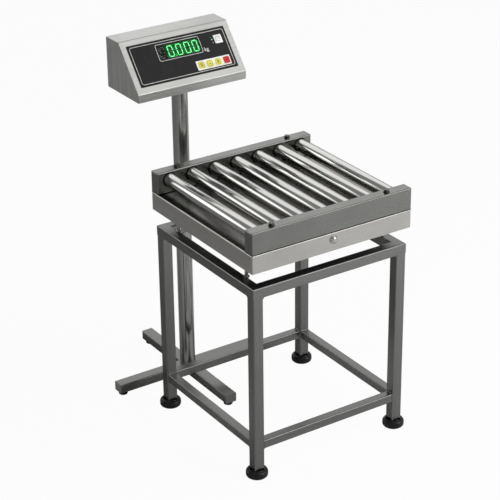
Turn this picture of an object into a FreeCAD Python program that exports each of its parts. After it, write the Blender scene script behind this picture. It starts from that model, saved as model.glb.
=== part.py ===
import FreeCAD, Part
import math
import os

Vec = FreeCAD.Vector
Turn = FreeCAD.Rotation
Place = FreeCAD.Placement

X_AXIS = Vec(1, 0, 0)
Y_AXIS = Vec(0, 1, 0)
Z_AXIS = Vec(0, 0, 1)
SIDES = (("left", -1), ("right", 1))
ENDS = (("front", -1), ("back", 1))

# A roller conveyor scale: a welded table, a platform scale with seven gravity rollers standing on it,
# and a free-standing column beside it that carries the weight indicator.
# X runs along the conveying direction, Y along the rollers towards the column, Z up.
# The model is laid out around the table's centre on the floor, and moved at the end so that
# its origin is the middle of the floor space that the whole set covers. All lengths are millimetres.

# Clearances and cutting
cut_overrun = 2.0  # how far a cutting tool runs past the face that it opens
same_point = 0.000001  # points closer together than this are one
bolt_gap = 0.1  # radial room of a bolt or axle in its hole
turn_gap = 0.05  # radial room of a fit that turns or slides
seat_gap = 0.05  # radial room of a bearing in its tube
facing_gap = 0.3  # room between a turning face and the wall beside it

# Table frame of square tube
table_length = 485.0
table_width = 475.0
table_height = 562.0
table_tube = 30.0
table_tube_wall = 2.0
table_tube_corner = 3.0
lower_tube = 25.0
lower_tube_wall = 1.5
lower_tube_corner = 2.5
lower_rail_height = 83.0  # from the floor to the underside of the lower rails
leg_plate = 6.0  # threaded plate that closes the leg's lower end

# Levelling feet: a moulded pad on a threaded stud
foot_radius = 30.0
foot_base_radius = 25.5
foot_rim_radius = 25.0
foot_shoulder_radius = 28.6
foot_seat_radius = 21.5
foot_seat_height = 20.0  # the leg's end rests here
foot_rim_rise = 4.0
foot_edge_low = 6.0
foot_edge_high = 14.0
foot_shoulder_height = 19.5
stud_radius = 6.0
level_travel = 15.0
stud_spare = 39.0  # stud left above the leg's plate with the foot screwed all the way out

# Scale base under the tray
base_end_inset = 15.0  # how far the base's ends stay inside the table's
base_length = table_length - 2 * base_end_inset
base_width = 355.0
base_tube = 25.0
base_tube_wall = 2.0
base_tube_corner = 2.5
base_foot_height = 40.0
base_stud_radius = 5.0
base_pad_radius = 8.0
base_pad_height = 4.0
base_pad_chamfer = 1.0
bridge_width = 100.0
bridge_plate = 6.0
bridge_flange_height = 12.0
bridge_flange_wall = 5.0

# Load cell
cell_length = 150.0
cell_width = 40.0
cell_height = 28.0
cell_eye_radius = 9.0
cell_eye_offset = 14.0
cell_slot_height = 6.0
cell_pad_length = 42.0
cell_pad_thickness = 3.0
cell_bolt_radius = 4.0
cell_bolt_inset = 11.0
cell_bolt_pitch = 20.0
cell_bolts_per_end = 2
cell_bolt_bite = 20.0  # depth of thread in the cell
cell_bolt_head_radius = 8.0
cell_bolt_head_height = 4.4

# Platform spider and tray
spider_bar = 13.0
spider_spine_width = 90.0
spider_arm_width = 40.0
support_pad_inset = 37.5  # from the base's ends in to the pads' rows
support_pad_x = base_length / 2 - support_pad_inset
support_pad_y = 185.0
support_pad_radius = 15.0
support_pad_height = 4.0
tray_end_reach = 22.5  # how far the tray's ends reach past the base's
tray_length = base_length + 2 * tray_end_reach
tray_width = 490.0
tray_skirt = 51.0
tray_sheet = 2.0
tray_bend = 3.0

# Overload stops between the scale base and the spider
overload_travel = 0.5  # how far the loaded cell lets the platform down
stop_screw_radius = 4.0
stop_nut_radius = 7.5
stop_nut_height = 6.0

# Round-headed screw in the front of the tray
cap_screw_drop = 20.0  # below the tray's top
cap_dome_radius = 9.0
cap_dome_height = 6.0
cap_washer_radius = 12.0
cap_washer_thickness = 1.5
cap_shank_radius = 4.0
cap_nut_radius = 7.5
cap_nut_thickness = 6.0
cap_shank_end = 2.0  # thread that shows past the nut

# Side channels that carry the rollers
channel_width = 34.0
channel_height = 62.0
channel_sheet = 2.0
channel_bend = 3.0
channel_bolt_inset = 70.0  # from the channels' ends in to their bolts
channel_bolt_x = tray_length / 2 - channel_bolt_inset
channel_bolt_radius = 4.0
channel_bolt_head_radius = 7.5
channel_bolt_head_height = 5.3
channel_washer_radius = 9.0
channel_washer_thickness = 1.6
channel_nut_height = 6.5
channel_bolt_end = 2.5  # thread that shows past the nut
sleeve_wall = 3.0

# Rollers
roller_count = 7
roller_end_inset = 37.3  # from the channels' ends in to the first and the last axle
roller_pitch = (tray_length - 2 * roller_end_inset) / (roller_count - 1)
roller_radius = 19.0
roller_wall = 1.5
roller_drop = 4.6  # from the channels' tops down to the rollers' crowns
roller_end_gap = 1.2
bearing_depth = 12.0
bearing_recess = 0.6
bearing_boss_radius = 9.0
axle_radius = 6.0
axle_stub = 10.0  # axle beyond the channel's wall
clip_radius = 9.0
clip_thickness = 1.5

# Column stand
stand_x = -89.0
stand_y = 354.0
arm_span = 470.0
arm_width = 35.0
arm_height = 28.0
arm_wall = 2.0
arm_corner = 3.0
stand_foot_radius = 13.0
stand_foot_height = 10.0
stand_foot_inset = 16.0
stand_foot_chamfer = 1.5
column_radius = 22.25
column_wall = 2.0

# Indicator housing
housing_floor = 903.0  # height of its underside
housing_width = 340.0
housing_depth = 165.0
housing_height = 143.0
housing_lip = 23.0
housing_top_depth = 66.0
housing_offset = 9.0  # its middle lies this far behind the column
housing_sheet = 1.5
housing_bend = 4.0
housing_edge = 1.2
cover_sheet = 1.5
cover_gap = 0.3
tab_size = 15.0
tab_height = 8.0
tab_screw_inset = 8.5
flange_radius = 32.0
flange_thickness = 3.0
flange_screw_circle = 27.0
spigot_wall = 3.0
spigot_reach = 60.0
small_screw_radius = 2.0
small_head_radius = 3.8
small_head_height = 2.4
small_screw_bite = 7.0

# Sloping panel: u runs right from its middle, v up the slope from the lip
membrane_width = 306.0
membrane_height = 121.0
membrane_low = 18.0
membrane_thickness = 0.8
membrane_corner = 2.0
window_left = -69.0
window_low = 79.0
window_width = 133.0
window_height = 45.0
window_corner = 4.0
window_rest = 3.0  # margin of panel that carries the window
window_fit = 0.1
small_key = 19.0
small_key_corner = 3.0
small_key_v = 42.5
small_key_first_u = 44.6
small_key_pitch = 26.6
large_key_width = 24.0
large_key_height = 24.5
large_key_corner = 1.5
large_key_u = 123.0
large_key_v = 105.7
key_gap = 0.25
key_proud = 0.3
key_root = 0.9  # how far a key reaches below the panel's outer face
key_travel = 0.5
key_stop_gap = 0.1

# Inside the indicator
board_width = 270.0
board_height = 104.0
board_thickness = 1.6
board_depth = 12.0  # from the panel's outer face to the board
board_post_radius = 3.0
board_post_inset = 8.0
switch_radius = 3.0
module_gap = 0.1
battery_width = 70.0
battery_depth = 47.0
battery_height = 98.0
battery_x = 95.0
battery_wall_gap = 0.5
terminal_width = 6.0
terminal_height = 5.0
terminal_pitch = 45.0

# Cable glands in the indicator's back
gland_pitch = 60.0
gland_height = 32.0
gland_bore_radius = 3.2
gland_shank_radius = 6.0
gland_hex_radius = 9.2
gland_hex_thickness = 4.5
gland_dome_radius = 7.4
gland_dome_tip_radius = 5.6
gland_dome_length = 11.0
gland_nut_thickness = 3.0

# Heights and places that follow from the sizes above
leg_x = (table_length - table_tube) / 2
leg_y = (table_width - table_tube) / 2
base_floor = table_height + base_foot_height
base_foot_x = (base_length - base_tube) / 2
base_foot_y = (base_width - base_tube) / 2
cell_floor = base_floor + bridge_plate + cell_pad_thickness
cell_top = cell_floor + cell_height
spider_floor = cell_top + cell_pad_thickness
spider_top = spider_floor + spider_bar
tray_underside = spider_top + support_pad_height
tray_top = tray_underside + tray_sheet
tray_floor = tray_top - tray_skirt
channel_top = tray_top + channel_height
channel_y = (tray_width - channel_width) / 2
channel_face = tray_width / 2 - channel_width  # the channels' walls beside the rollers
roller_length = 2 * (channel_face - roller_end_gap)
roller_axis = channel_top - roller_drop - roller_radius
roller_first_x = -roller_pitch * (roller_count - 1) / 2
stand_beam_top = stand_foot_height + arm_height
column_top = housing_floor - flange_thickness
housing_y = stand_y + housing_offset
housing_front = housing_y - housing_depth / 2
housing_back = housing_y + housing_depth / 2
housing_top = housing_floor + housing_height
cover_top = housing_floor + cover_sheet
panel_run = housing_depth - housing_top_depth
panel_rise = housing_height - housing_lip
panel_pitch = math.degrees(math.atan2(panel_rise, panel_run))
panel_place = Place(Vec(stand_x, housing_front, housing_floor + housing_lip), Turn(X_AXIS, panel_pitch))
cell_bolt_first = cell_length / 2 - cell_bolt_inset
cell_bolt_x = [cell_bolt_first - step * cell_bolt_pitch for step in range(cell_bolts_per_end)]


# Basic shapes

def block(size_x, size_y, size_z, x=0, y=0, floor=0):
    """A box centred on x and y that stands on the height floor."""
    return Part.makeBox(size_x, size_y, size_z, Vec(x - size_x / 2, y - size_y / 2, floor))


def rod(radius, length, start, direction=Z_AXIS):
    """A round bar that runs from start along direction."""
    return Part.makeCylinder(radius, length, start, direction)


def ring(outer_radius, inner_radius, length, start, direction=Z_AXIS):
    """A round bar with a bore all the way through."""
    back = Vec(direction).multiply(cut_overrun)
    bore = rod(inner_radius, length + 2 * cut_overrun, start - back, direction)
    return rod(outer_radius, length, start, direction).cut(bore)


def hexagon(radius, height, start, direction=Z_AXIS):
    """A six-sided head or nut; radius is half of its width across corners."""
    corners = [Turn(Z_AXIS, 60 * step).multVec(Vec(radius, 0, 0)) for step in range(6)]
    solid = Part.Face(Part.makePolygon(corners + corners[:1])).extrude(Vec(0, 0, height))
    solid.Placement = Place(start, Turn(Z_AXIS, direction))
    return solid


def nut(radius, bore_radius, height, start, direction=Z_AXIS):
    """A six-sided nut with its bore."""
    back = Vec(direction).multiply(cut_overrun)
    bore = rod(bore_radius, height + 2 * cut_overrun, start - back, direction)
    return hexagon(radius, height, start, direction).cut(bore)


def turned(outline, centre=Vec(0, 0, 0)):
    """A solid of revolution about Z from (radius, height) points that start and end on the axis."""
    points = [Vec(radius, 0, height) for radius, height in outline]
    solid = Part.Face(Part.makePolygon(points + points[:1])).revolve(Vec(0, 0, 0), Z_AXIS, 360)
    solid.translate(centre)
    return solid


def rounded_rectangle(width, height, corner):
    """A flat face centred on the origin, with corners of the given radius."""
    half_w = width / 2
    half_h = height / 2
    corner = min(corner, half_w, half_h)
    if corner <= 0:
        outline = [Vec(-half_w, -half_h, 0), Vec(half_w, -half_h, 0),
                   Vec(half_w, half_h, 0), Vec(-half_w, half_h, 0)]
        return Part.Face(Part.makePolygon(outline + outline[:1]))
    edges = []
    for quarter in range(4):
        sign_x = (1, -1, -1, 1)[quarter]
        sign_y = (1, 1, -1, -1)[quarter]
        centre = Vec(sign_x * (half_w - corner), sign_y * (half_h - corner), 0)
        edges.append(Part.makeCircle(corner, centre, Z_AXIS, 90 * quarter, 90 * quarter + 90))
    ends = [(edges[step].Vertexes[1].Point, edges[(step + 1) % 4].Vertexes[0].Point) for step in range(4)]
    outline = []
    for edge, (start, end) in zip(edges, ends):
        outline.append(edge)
        if not start.isEqual(end, same_point):
            outline.append(Part.makeLine(start, end))
    return Part.Face(Part.Wire(Part.__sortEdges__(outline)))


def plate(width, height, thickness, corner):
    """A flat plate with rounded corners, standing on the plane z = 0."""
    return rounded_rectangle(width, height, corner).extrude(Vec(0, 0, thickness))


def hollow_tube(width, height, length, wall, corner):
    """Rectangular tube along Z with rounded corners."""
    outer = plate(width, height, length, corner)
    bore = plate(width - 2 * wall, height - 2 * wall, length + 2 * cut_overrun, corner - wall)
    bore.translate(Vec(0, 0, -cut_overrun))
    return outer.cut(bore)


def laid(shape, direction, centre):
    """Turn a shape built along Z so that it runs along direction, with its start at centre."""
    copy = shape.copy()
    copy.Placement = Place(centre, Turn(Z_AXIS, direction))
    return copy


def round_topped_box(length, width, height, radius):
    """A box on z = 0 whose upright and top edges are rounded."""
    box = block(length, width, height)
    if radius <= 0:
        return box
    edges = [edge for edge in box.Edges if edge.CenterOfMass.z > 0]
    return box.makeFillet(radius, edges)


def sheet_cover(length, width, height, sheet, bend):
    """A folded sheet lid, open below."""
    outer = round_topped_box(length, width, height, bend)
    depth = height - sheet + cut_overrun
    inner = round_topped_box(length - 2 * sheet, width - 2 * sheet, depth, bend - sheet)
    inner.translate(Vec(0, 0, -cut_overrun))
    return outer.cut(inner)


def mitred_rails(length, width, side, wall, corner, floor):
    """Four tubes of a flat frame, mitred at its corners: the two along X, then the two along Y."""
    pairs = []
    for run, across, direction in ((length, width, X_AXIS), (width, length, Y_AXIS)):
        rails = []
        for sign in (-1, 1):
            outer = across / 2 + cut_overrun
            inner = across / 2 - side - cut_overrun
            half_outer = run / 2 + cut_overrun
            half_inner = run / 2 - side - cut_overrun
            corners = [Vec(-half_outer, sign * outer, 0), Vec(half_outer, sign * outer, 0),
                       Vec(half_inner, sign * inner, 0), Vec(-half_inner, sign * inner, 0)]
            wedge = Part.Face(Part.makePolygon(corners + corners[:1]))
            mitre = wedge.extrude(Vec(0, 0, side + 2 * cut_overrun))
            mitre.translate(Vec(0, 0, floor - cut_overrun))
            tube = laid(hollow_tube(side, side, run, wall, corner), X_AXIS,
                        Vec(-run / 2, sign * (across - side) / 2, floor + side / 2))
            rail = tube.common(mitre)
            if direction is Y_AXIS:
                rail.rotate(Vec(0, 0, 0), Z_AXIS, 90)
            rails.append(rail)
        pairs.append(rails)
    return pairs


def group(solids):
    """Several separate solids kept in one sub-part."""
    return Part.makeCompound(solids)


# Table

def leg(sign_x, sign_y):
    """One leg, with the threaded plate in its lower end."""
    length = table_height - table_tube - foot_seat_height
    tube = hollow_tube(table_tube, table_tube, length, table_tube_wall, table_tube_corner)
    end = plate(table_tube - table_tube_wall, table_tube - table_tube_wall, leg_plate, table_tube_corner / 2)
    hole = rod(stud_radius + turn_gap, leg_plate + 2 * cut_overrun, Vec(0, 0, -cut_overrun))
    solid = tube.fuse(end).cut(hole).removeSplitter()
    solid.translate(Vec(sign_x * leg_x, sign_y * leg_y, foot_seat_height))
    return solid


def levelling_foot(sign_x, sign_y):
    """Moulded pad with a recess for the leg's end, on its threaded stud."""
    rim = foot_seat_height + foot_rim_rise
    stud_top = foot_seat_height + leg_plate + level_travel + stud_spare
    outline = [(0, 0), (foot_base_radius, 0), (foot_radius, foot_edge_low), (foot_radius, foot_edge_high),
               (foot_shoulder_radius, foot_shoulder_height), (foot_rim_radius, rim), (foot_seat_radius, rim),
               (foot_seat_radius, foot_seat_height), (stud_radius, foot_seat_height),
               (stud_radius, stud_top), (0, stud_top)]
    return turned(outline, Vec(sign_x * leg_x, sign_y * leg_y, 0))


def lower_rails(direction):
    """The two lower rails that run between the legs along one direction."""
    if direction is X_AXIS:
        run, apart = table_length - 2 * table_tube, leg_y
    else:
        run, apart = table_width - 2 * table_tube, leg_x
    tube = hollow_tube(lower_tube, lower_tube, run, lower_tube_wall, lower_tube_corner)
    height = lower_rail_height + lower_tube / 2
    rails = []
    for sign in (-1, 1):
        start = Vec(sign * apart, -run / 2, height)
        if direction is X_AXIS:
            start = Vec(-run / 2, sign * apart, height)
        rails.append(laid(tube, direction, start))
    return group(rails)


# Scale base and load cell

def bridge():
    """Flanged plate across the base that carries the load cell's fixed end."""
    span = base_length - 2 * base_tube
    body = block(span, bridge_width, bridge_plate, 0, 0, base_floor)
    for sign in (-1, 1):
        flange = block(span, bridge_flange_wall, bridge_flange_height,
                       0, sign * (bridge_width - bridge_flange_wall) / 2, base_floor)
        body = body.fuse(flange)
    pad_x = -(cell_length - cell_pad_length) / 2
    pad_floor = base_floor + bridge_plate
    body = body.fuse(block(cell_pad_length, cell_width, cell_pad_thickness, pad_x, 0, pad_floor))
    for x in cell_bolt_x:
        body = body.cut(countersunk_bolt(bolt_gap, -x, base_floor, 1))
    return body.removeSplitter()


def base_frame():
    """Mitred tube frame with the bridge between its sides."""
    along, across = mitred_rails(base_length, base_width, base_tube, base_tube_wall,
                                 base_tube_corner, base_floor)
    return group(along + across + [bridge()])


def base_feet():
    """Screwed feet under the corners of the scale's base, each a small pad on a stud."""
    outline = [(0, 0), (base_pad_radius - base_pad_chamfer, 0), (base_pad_radius, base_pad_chamfer),
               (base_pad_radius, base_pad_height), (base_stud_radius, base_pad_height),
               (base_stud_radius, base_foot_height), (0, base_foot_height)]
    return group([turned(outline, Vec(sign_x * base_foot_x, sign_y * base_foot_y, table_height))
                  for sign_x in (-1, 1) for sign_y in (-1, 1)])


def overload_stops():
    """Stop screws in their nuts on the base's long rails, one under each end of the spider's arms."""
    rail_top = base_floor + base_tube
    height = spider_floor - overload_travel - rail_top
    solids = []
    for sign_x in (-1, 1):
        for sign_y in (-1, 1):
            start = Vec(sign_x * support_pad_x, sign_y * base_foot_y, rail_top)
            screw = rod(stop_screw_radius, height, start)
            stop_nut = hexagon(stop_nut_radius, stop_nut_height, start)
            solids.append(stop_nut.fuse(screw).removeSplitter())
    return group(solids)


def load_cell():
    """Beam with the two joined eyes that let it bend, and threaded holes at both ends."""
    body = block(cell_length, cell_width, cell_height, 0, 0, cell_floor)
    middle = cell_floor + cell_height / 2
    tool_length = cell_width + 2 * cut_overrun
    tools = [rod(cell_eye_radius, tool_length, Vec(sign * cell_eye_offset, -tool_length / 2, middle), Y_AXIS)
             for sign in (-1, 1)]
    slot_floor = middle - cell_slot_height / 2
    tools.append(block(2 * cell_eye_offset, tool_length, cell_slot_height, 0, 0, slot_floor))
    for x in cell_bolt_x:
        hole_depth = cell_bolt_bite + cut_overrun
        tools.append(rod(cell_bolt_radius + bolt_gap, hole_depth, Vec(-x, 0, cell_floor - cut_overrun)))
        tools.append(rod(cell_bolt_radius + bolt_gap, hole_depth, Vec(x, 0, cell_top - cell_bolt_bite)))
    for tool in tools:
        body = body.cut(tool)
    return body


def countersunk_bolt(gap, x, face, upward):
    """A flush bolt with its head in the face at the given height; gap widens it into its own hole."""
    depth = bridge_plate if upward > 0 else spider_bar
    reach = depth + cell_pad_thickness + cell_bolt_bite - cell_bolt_head_height / 2
    head = Part.makeCone(cell_bolt_head_radius + gap, cell_bolt_radius + gap, cell_bolt_head_height)
    shank = rod(cell_bolt_radius + gap, reach, Vec(0, 0, 0))
    bolt = head.fuse(shank)
    bolt.Placement = Place(Vec(x, 0, face), Turn(Z_AXIS, Vec(0, 0, upward)))
    return bolt


def cell_base_bolts():
    """The two bolts that hold the cell's fixed end to the bridge."""
    return group([countersunk_bolt(0, -x, base_floor, 1) for x in cell_bolt_x])


def cell_top_bolts():
    """The two bolts that hold the spider to the cell's free end."""
    return group([countersunk_bolt(0, x, spider_top, -1) for x in cell_bolt_x])


def spider():
    """Welded H of flat bars on the load cell's free end."""
    spine = block(2 * support_pad_x + spider_arm_width, spider_spine_width, spider_bar, 0, 0, spider_floor)
    body = spine
    for sign in (-1, 1):
        arm = block(spider_arm_width, 2 * support_pad_y + spider_arm_width, spider_bar,
                    sign * support_pad_x, 0, spider_floor)
        body = body.fuse(arm)
    pad_x = (cell_length - cell_pad_length) / 2
    body = body.fuse(block(cell_pad_length, cell_width, cell_pad_thickness, pad_x, 0, cell_top))
    for x in cell_bolt_x:
        body = body.cut(countersunk_bolt(bolt_gap, x, spider_top, -1))
    return body.removeSplitter()


def support_pads():
    """Rubber pads between the spider's corners and the tray."""
    return group([rod(support_pad_radius, support_pad_height,
                      Vec(sign_x * support_pad_x, sign_y * support_pad_y, spider_top))
                  for sign_x in (-1, 1) for sign_y in (-1, 1)])


# Tray and side channels

def tray():
    """Folded sheet tray, with holes for the channels' bolts and the round-headed screw."""
    body = sheet_cover(tray_length, tray_width, tray_skirt, tray_sheet, tray_bend)
    body.translate(Vec(0, 0, tray_floor))
    depth = tray_sheet + 2 * cut_overrun
    for x in (-channel_bolt_x, channel_bolt_x):
        for y in (-channel_y, channel_y):
            hole_start = Vec(x, y, tray_underside - cut_overrun)
            body = body.cut(rod(channel_bolt_radius + bolt_gap, depth, hole_start))
    start = Vec(0, -tray_width / 2 - cut_overrun, tray_top - cap_screw_drop)
    return body.cut(rod(cap_shank_radius + bolt_gap, depth, start, Y_AXIS))


def front_cap_screw():
    """Dome head with its washer outside the skirt, and its nut inside."""
    face = -tray_width / 2
    height = tray_top - cap_screw_drop
    washer_face = face - cap_washer_thickness
    ball_radius = (cap_dome_radius ** 2 + cap_dome_height ** 2) / (2 * cap_dome_height)
    ball = Part.makeSphere(ball_radius, Vec(0, 0, cap_dome_height - ball_radius))
    dome = ball.common(rod(cap_dome_radius, cap_dome_height, Vec(0, 0, 0)))
    dome.Placement = Place(Vec(0, washer_face, height), Turn(Z_AXIS, -Y_AXIS))
    shank_length = cap_washer_thickness + tray_sheet + cap_nut_thickness + cap_shank_end
    shank = rod(cap_shank_radius, shank_length, Vec(0, washer_face, height), Y_AXIS)
    washer = ring(cap_washer_radius, cap_shank_radius + bolt_gap, cap_washer_thickness,
                  Vec(0, washer_face, height), Y_AXIS)
    inner_nut = nut(cap_nut_radius, cap_shank_radius + bolt_gap, cap_nut_thickness,
                    Vec(0, face + tray_sheet, height), Y_AXIS)
    return group([dome.fuse(shank).removeSplitter(), washer, inner_nut])


def channel(sign_y):
    """Closed-ended sheet channel with axle holes in its inner wall and bolt sleeves welded inside."""
    body = sheet_cover(tray_length, channel_width, channel_height, channel_sheet, channel_bend)
    wall_y = channel_width / 2 - channel_sheet - cut_overrun
    for step in range(roller_count):
        start = Vec(roller_first_x + step * roller_pitch, wall_y, roller_axis - tray_top)
        body = body.cut(rod(axle_radius + bolt_gap, channel_sheet + 2 * cut_overrun, start, Y_AXIS))
    sleeve_length = channel_height - channel_sheet
    for x in (-channel_bolt_x, channel_bolt_x):
        sleeve = rod(channel_bolt_radius + sleeve_wall, sleeve_length, Vec(x, 0, 0))
        hole = rod(channel_bolt_radius + bolt_gap, channel_height + 2 * cut_overrun, Vec(x, 0, -cut_overrun))
        body = body.fuse(sleeve).cut(hole)
    body = body.removeSplitter()
    if sign_y > 0:
        body.rotate(Vec(0, 0, 0), Z_AXIS, 180)
    body.translate(Vec(0, sign_y * channel_y, tray_top))
    return body


def channel_bolts():
    """Long bolts with washers and nuts that hold the channels down on the tray."""
    solids = []
    nut_floor = tray_underside - channel_nut_height
    for x in (-channel_bolt_x, channel_bolt_x):
        for y in (-channel_y, channel_y):
            head_floor = channel_top + channel_washer_thickness
            shank_floor = nut_floor - channel_bolt_end
            shank = rod(channel_bolt_radius, head_floor - shank_floor, Vec(x, y, shank_floor))
            head = hexagon(channel_bolt_head_radius, channel_bolt_head_height, Vec(x, y, head_floor))
            solids.append(head.fuse(shank).removeSplitter())
            solids.append(ring(channel_washer_radius, channel_bolt_radius + bolt_gap,
                               channel_washer_thickness, Vec(x, y, channel_top)))
            solids.append(nut(channel_bolt_head_radius, channel_bolt_radius + bolt_gap,
                              channel_nut_height, Vec(x, y, nut_floor)))
    return group(solids)


# Rollers

def roller_tube(x):
    """The polished tube of one roller."""
    start = Vec(x, -roller_length / 2, roller_axis)
    return ring(roller_radius, roller_radius - roller_wall, roller_length, start, Y_AXIS)


def roller_bearings(x):
    """Bearing inserts in both ends of one roller; each boss keeps the tube clear of the channel."""
    solids = []
    for _, sign in ENDS:
        outward = Vec(0, sign, 0)
        bore = axle_radius + turn_gap
        seat = roller_length / 2 - bearing_recess - bearing_depth
        insert = ring(roller_radius - roller_wall - seat_gap, bore, bearing_depth,
                      Vec(x, sign * seat, roller_axis), outward)
        boss_start = seat + bearing_depth / 2
        boss_length = channel_face - facing_gap - boss_start
        boss = ring(bearing_boss_radius, bore, boss_length, Vec(x, sign * boss_start, roller_axis), outward)
        solids.append(insert.fuse(boss).removeSplitter())
    return group(solids)


def roller_places():
    """The rollers' places along X."""
    return [roller_first_x + step * roller_pitch for step in range(roller_count)]


def roller_axles():
    """Fixed axles that reach through the channels' inner walls."""
    reach = channel_face + channel_sheet + axle_stub
    return group([rod(axle_radius, 2 * reach, Vec(x, -reach, roller_axis), Y_AXIS) for x in roller_places()])


def axle_clips():
    """Retaining rings on the axles, inside the channels."""
    seat = channel_face + channel_sheet
    return group([ring(clip_radius, axle_radius + bolt_gap, clip_thickness,
                       Vec(x, sign * seat, roller_axis), Vec(0, sign, 0))
                  for x in roller_places() for _, sign in ENDS])


# Column stand

def closed_arm(length, start, direction, cap_places):
    """Rectangular tube that lies on its wider side, with end plates welded in at the given distances."""
    tube = hollow_tube(arm_width, arm_height, length, arm_wall, arm_corner)
    for distance in cap_places:
        cap = plate(arm_width, arm_height, arm_wall, arm_corner)
        cap.translate(Vec(0, 0, distance))
        tube = tube.fuse(cap)
    tube = tube.removeSplitter()
    tube.Placement = Place(start, Turn(Z_AXIS.cross(direction), Z_AXIS, direction, "ZYX"))
    return tube


def stand_beam():
    """The cross base's long beam, along Y."""
    start = Vec(stand_x, stand_y - arm_span / 2, stand_foot_height + arm_height / 2)
    return closed_arm(arm_span, start, Y_AXIS, (0, arm_span - arm_wall))


def stand_side_arms():
    """The two arms that butt against the beam's sides."""
    length = (arm_span - arm_width) / 2
    arms = []
    for _, sign in SIDES:
        start = Vec(stand_x + sign * arm_width / 2, stand_y, stand_foot_height + arm_height / 2)
        arms.append(closed_arm(length, start, Vec(sign, 0, 0), (length - arm_wall,)))
    return group(arms)


def stand_feet():
    """Round feet under the ends of the four arms."""
    outline = [(0, 0), (stand_foot_radius - stand_foot_chamfer, 0), (stand_foot_radius, stand_foot_chamfer),
               (stand_foot_radius, stand_foot_height), (0, stand_foot_height)]
    reach = arm_span / 2 - stand_foot_inset
    places = [(0, -reach), (0, reach), (-reach, 0), (reach, 0)]
    return group([turned(outline, Vec(stand_x + x, stand_y + y, 0)) for x, y in places])


def column():
    """Round post on the beam."""
    return ring(column_radius, column_radius - column_wall, column_top - stand_beam_top,
                Vec(stand_x, stand_y, stand_beam_top))


# Indicator

def housing_form(inset, bend, edge):
    """The wedge-shaped body, inset evenly all round, with rounded bends and side edges."""
    outline = [Vec(0, housing_front, housing_floor), Vec(0, housing_front, housing_floor + housing_lip),
               Vec(0, housing_back - housing_top_depth, housing_top), Vec(0, housing_back, housing_top),
               Vec(0, housing_back, housing_floor)]
    face = Part.Face(Part.makePolygon(outline + outline[:1]))
    if inset > 0:
        face = Part.Face(face.makeOffset2D(-inset).Wires[0])
    half = housing_width / 2 - inset
    face.translate(Vec(stand_x - half, 0, 0))
    solid = face.extrude(Vec(2 * half, 0, 0))
    low = solid.BoundBox.ZMin + housing_sheet
    upper = [line for line in solid.Edges if line.CenterOfMass.z > low]
    solid = solid.makeFillet(bend, [line for line in upper if abs(line.CenterOfMass.x - stand_x) < half / 2])
    if edge <= 0:
        return solid
    upper = [line for line in solid.Edges if line.CenterOfMass.z > low]
    rim = half - housing_edge / 2
    return solid.makeFillet(edge, [line for line in upper if abs(line.CenterOfMass.x - stand_x) > rim])


def on_panel(solid, u, v, w):
    """Set a solid built on z = 0 on the sloping panel, at u and v, w out from its face."""
    copy = solid.copy()
    copy.translate(Vec(u, v, w))
    copy.Placement = panel_place.multiply(copy.Placement)
    return copy


def window_centre():
    """The middle of the display window on the panel."""
    return window_left + window_width / 2, window_low + window_height / 2


def keys():
    """Each key's name, place on the panel and size."""
    table = {}
    names = ("zero", "tare", "unit", "memory")
    for step, name in enumerate(names):
        u = small_key_first_u + step * small_key_pitch
        table["key_" + name] = (u, small_key_v, small_key, small_key, small_key_corner)
    table["key_power"] = (large_key_u, large_key_v, large_key_width, large_key_height, large_key_corner)
    return table


def key_openings(thickness, w):
    """Cutting tools for the keys' holes through a sheet on the panel."""
    tools = []
    for u, v, width, height, corner in keys().values():
        tool = plate(width + 2 * key_gap, height + 2 * key_gap, thickness + 2 * cut_overrun, corner + key_gap)
        tools.append(on_panel(tool, u, v, w - cut_overrun))
    return tools


def corner_tab_places():
    """Where the housing's four corner tabs carry the bottom cover's screws."""
    reach_x = housing_width / 2 - housing_sheet - tab_screw_inset
    reach_y = housing_depth / 2 - housing_sheet - tab_screw_inset
    return [(stand_x + sign_x * reach_x, housing_y + sign_y * reach_y)
            for sign_x in (-1, 1) for sign_y in (-1, 1)]


def gland_places():
    """The two cable glands' places in the back wall."""
    height = housing_floor + gland_height
    return [Vec(stand_x + sign * gland_pitch / 2, housing_back, height) for sign in (-1, 1)]


def housing():
    """Folded and welded sheet body, open below, with tabs for the bottom cover."""
    body = housing_form(0, housing_bend, housing_edge)
    cavity = housing_form(housing_sheet, housing_bend - housing_sheet, 0)
    mouth = block(housing_width - 2 * housing_sheet, housing_depth - 2 * housing_sheet,
                  housing_sheet + 2 * cut_overrun, stand_x, housing_y, housing_floor - cut_overrun)
    body = body.cut(cavity).cut(mouth)
    u, v = window_centre()
    depth = housing_sheet + 2 * cut_overrun
    opening = plate(window_width - 2 * window_rest, window_height - 2 * window_rest, depth, window_corner)
    body = body.cut(on_panel(opening, u, v, -housing_sheet - cut_overrun))
    for tool in key_openings(housing_sheet, -housing_sheet):
        body = body.cut(tool)
    for place in gland_places():
        start = place - Vec(0, housing_sheet + cut_overrun, 0)
        body = body.cut(rod(gland_shank_radius + bolt_gap, depth, start, Y_AXIS))
    for x, y in corner_tab_places():
        reach = tab_screw_inset - tab_size / 2
        tab_x = x + math.copysign(reach, x - stand_x)
        tab_y = y + math.copysign(reach, y - housing_y)
        tab = block(tab_size, tab_size, tab_height, tab_x, tab_y, cover_top)
        hole_start = Vec(x, y, cover_top - cut_overrun)
        hole = rod(small_screw_radius + bolt_gap, tab_height + 2 * cut_overrun, hole_start)
        body = body.fuse(tab).cut(hole)
    return body.removeSplitter()


def flange_screw_places():
    """Where the spigot's flange is screwed to the bottom cover."""
    reach = flange_screw_circle * math.sqrt(0.5)
    return [(stand_x + sign_x * reach, stand_y + sign_y * reach)
            for sign_x in (-1, 1) for sign_y in (-1, 1)]


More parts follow.
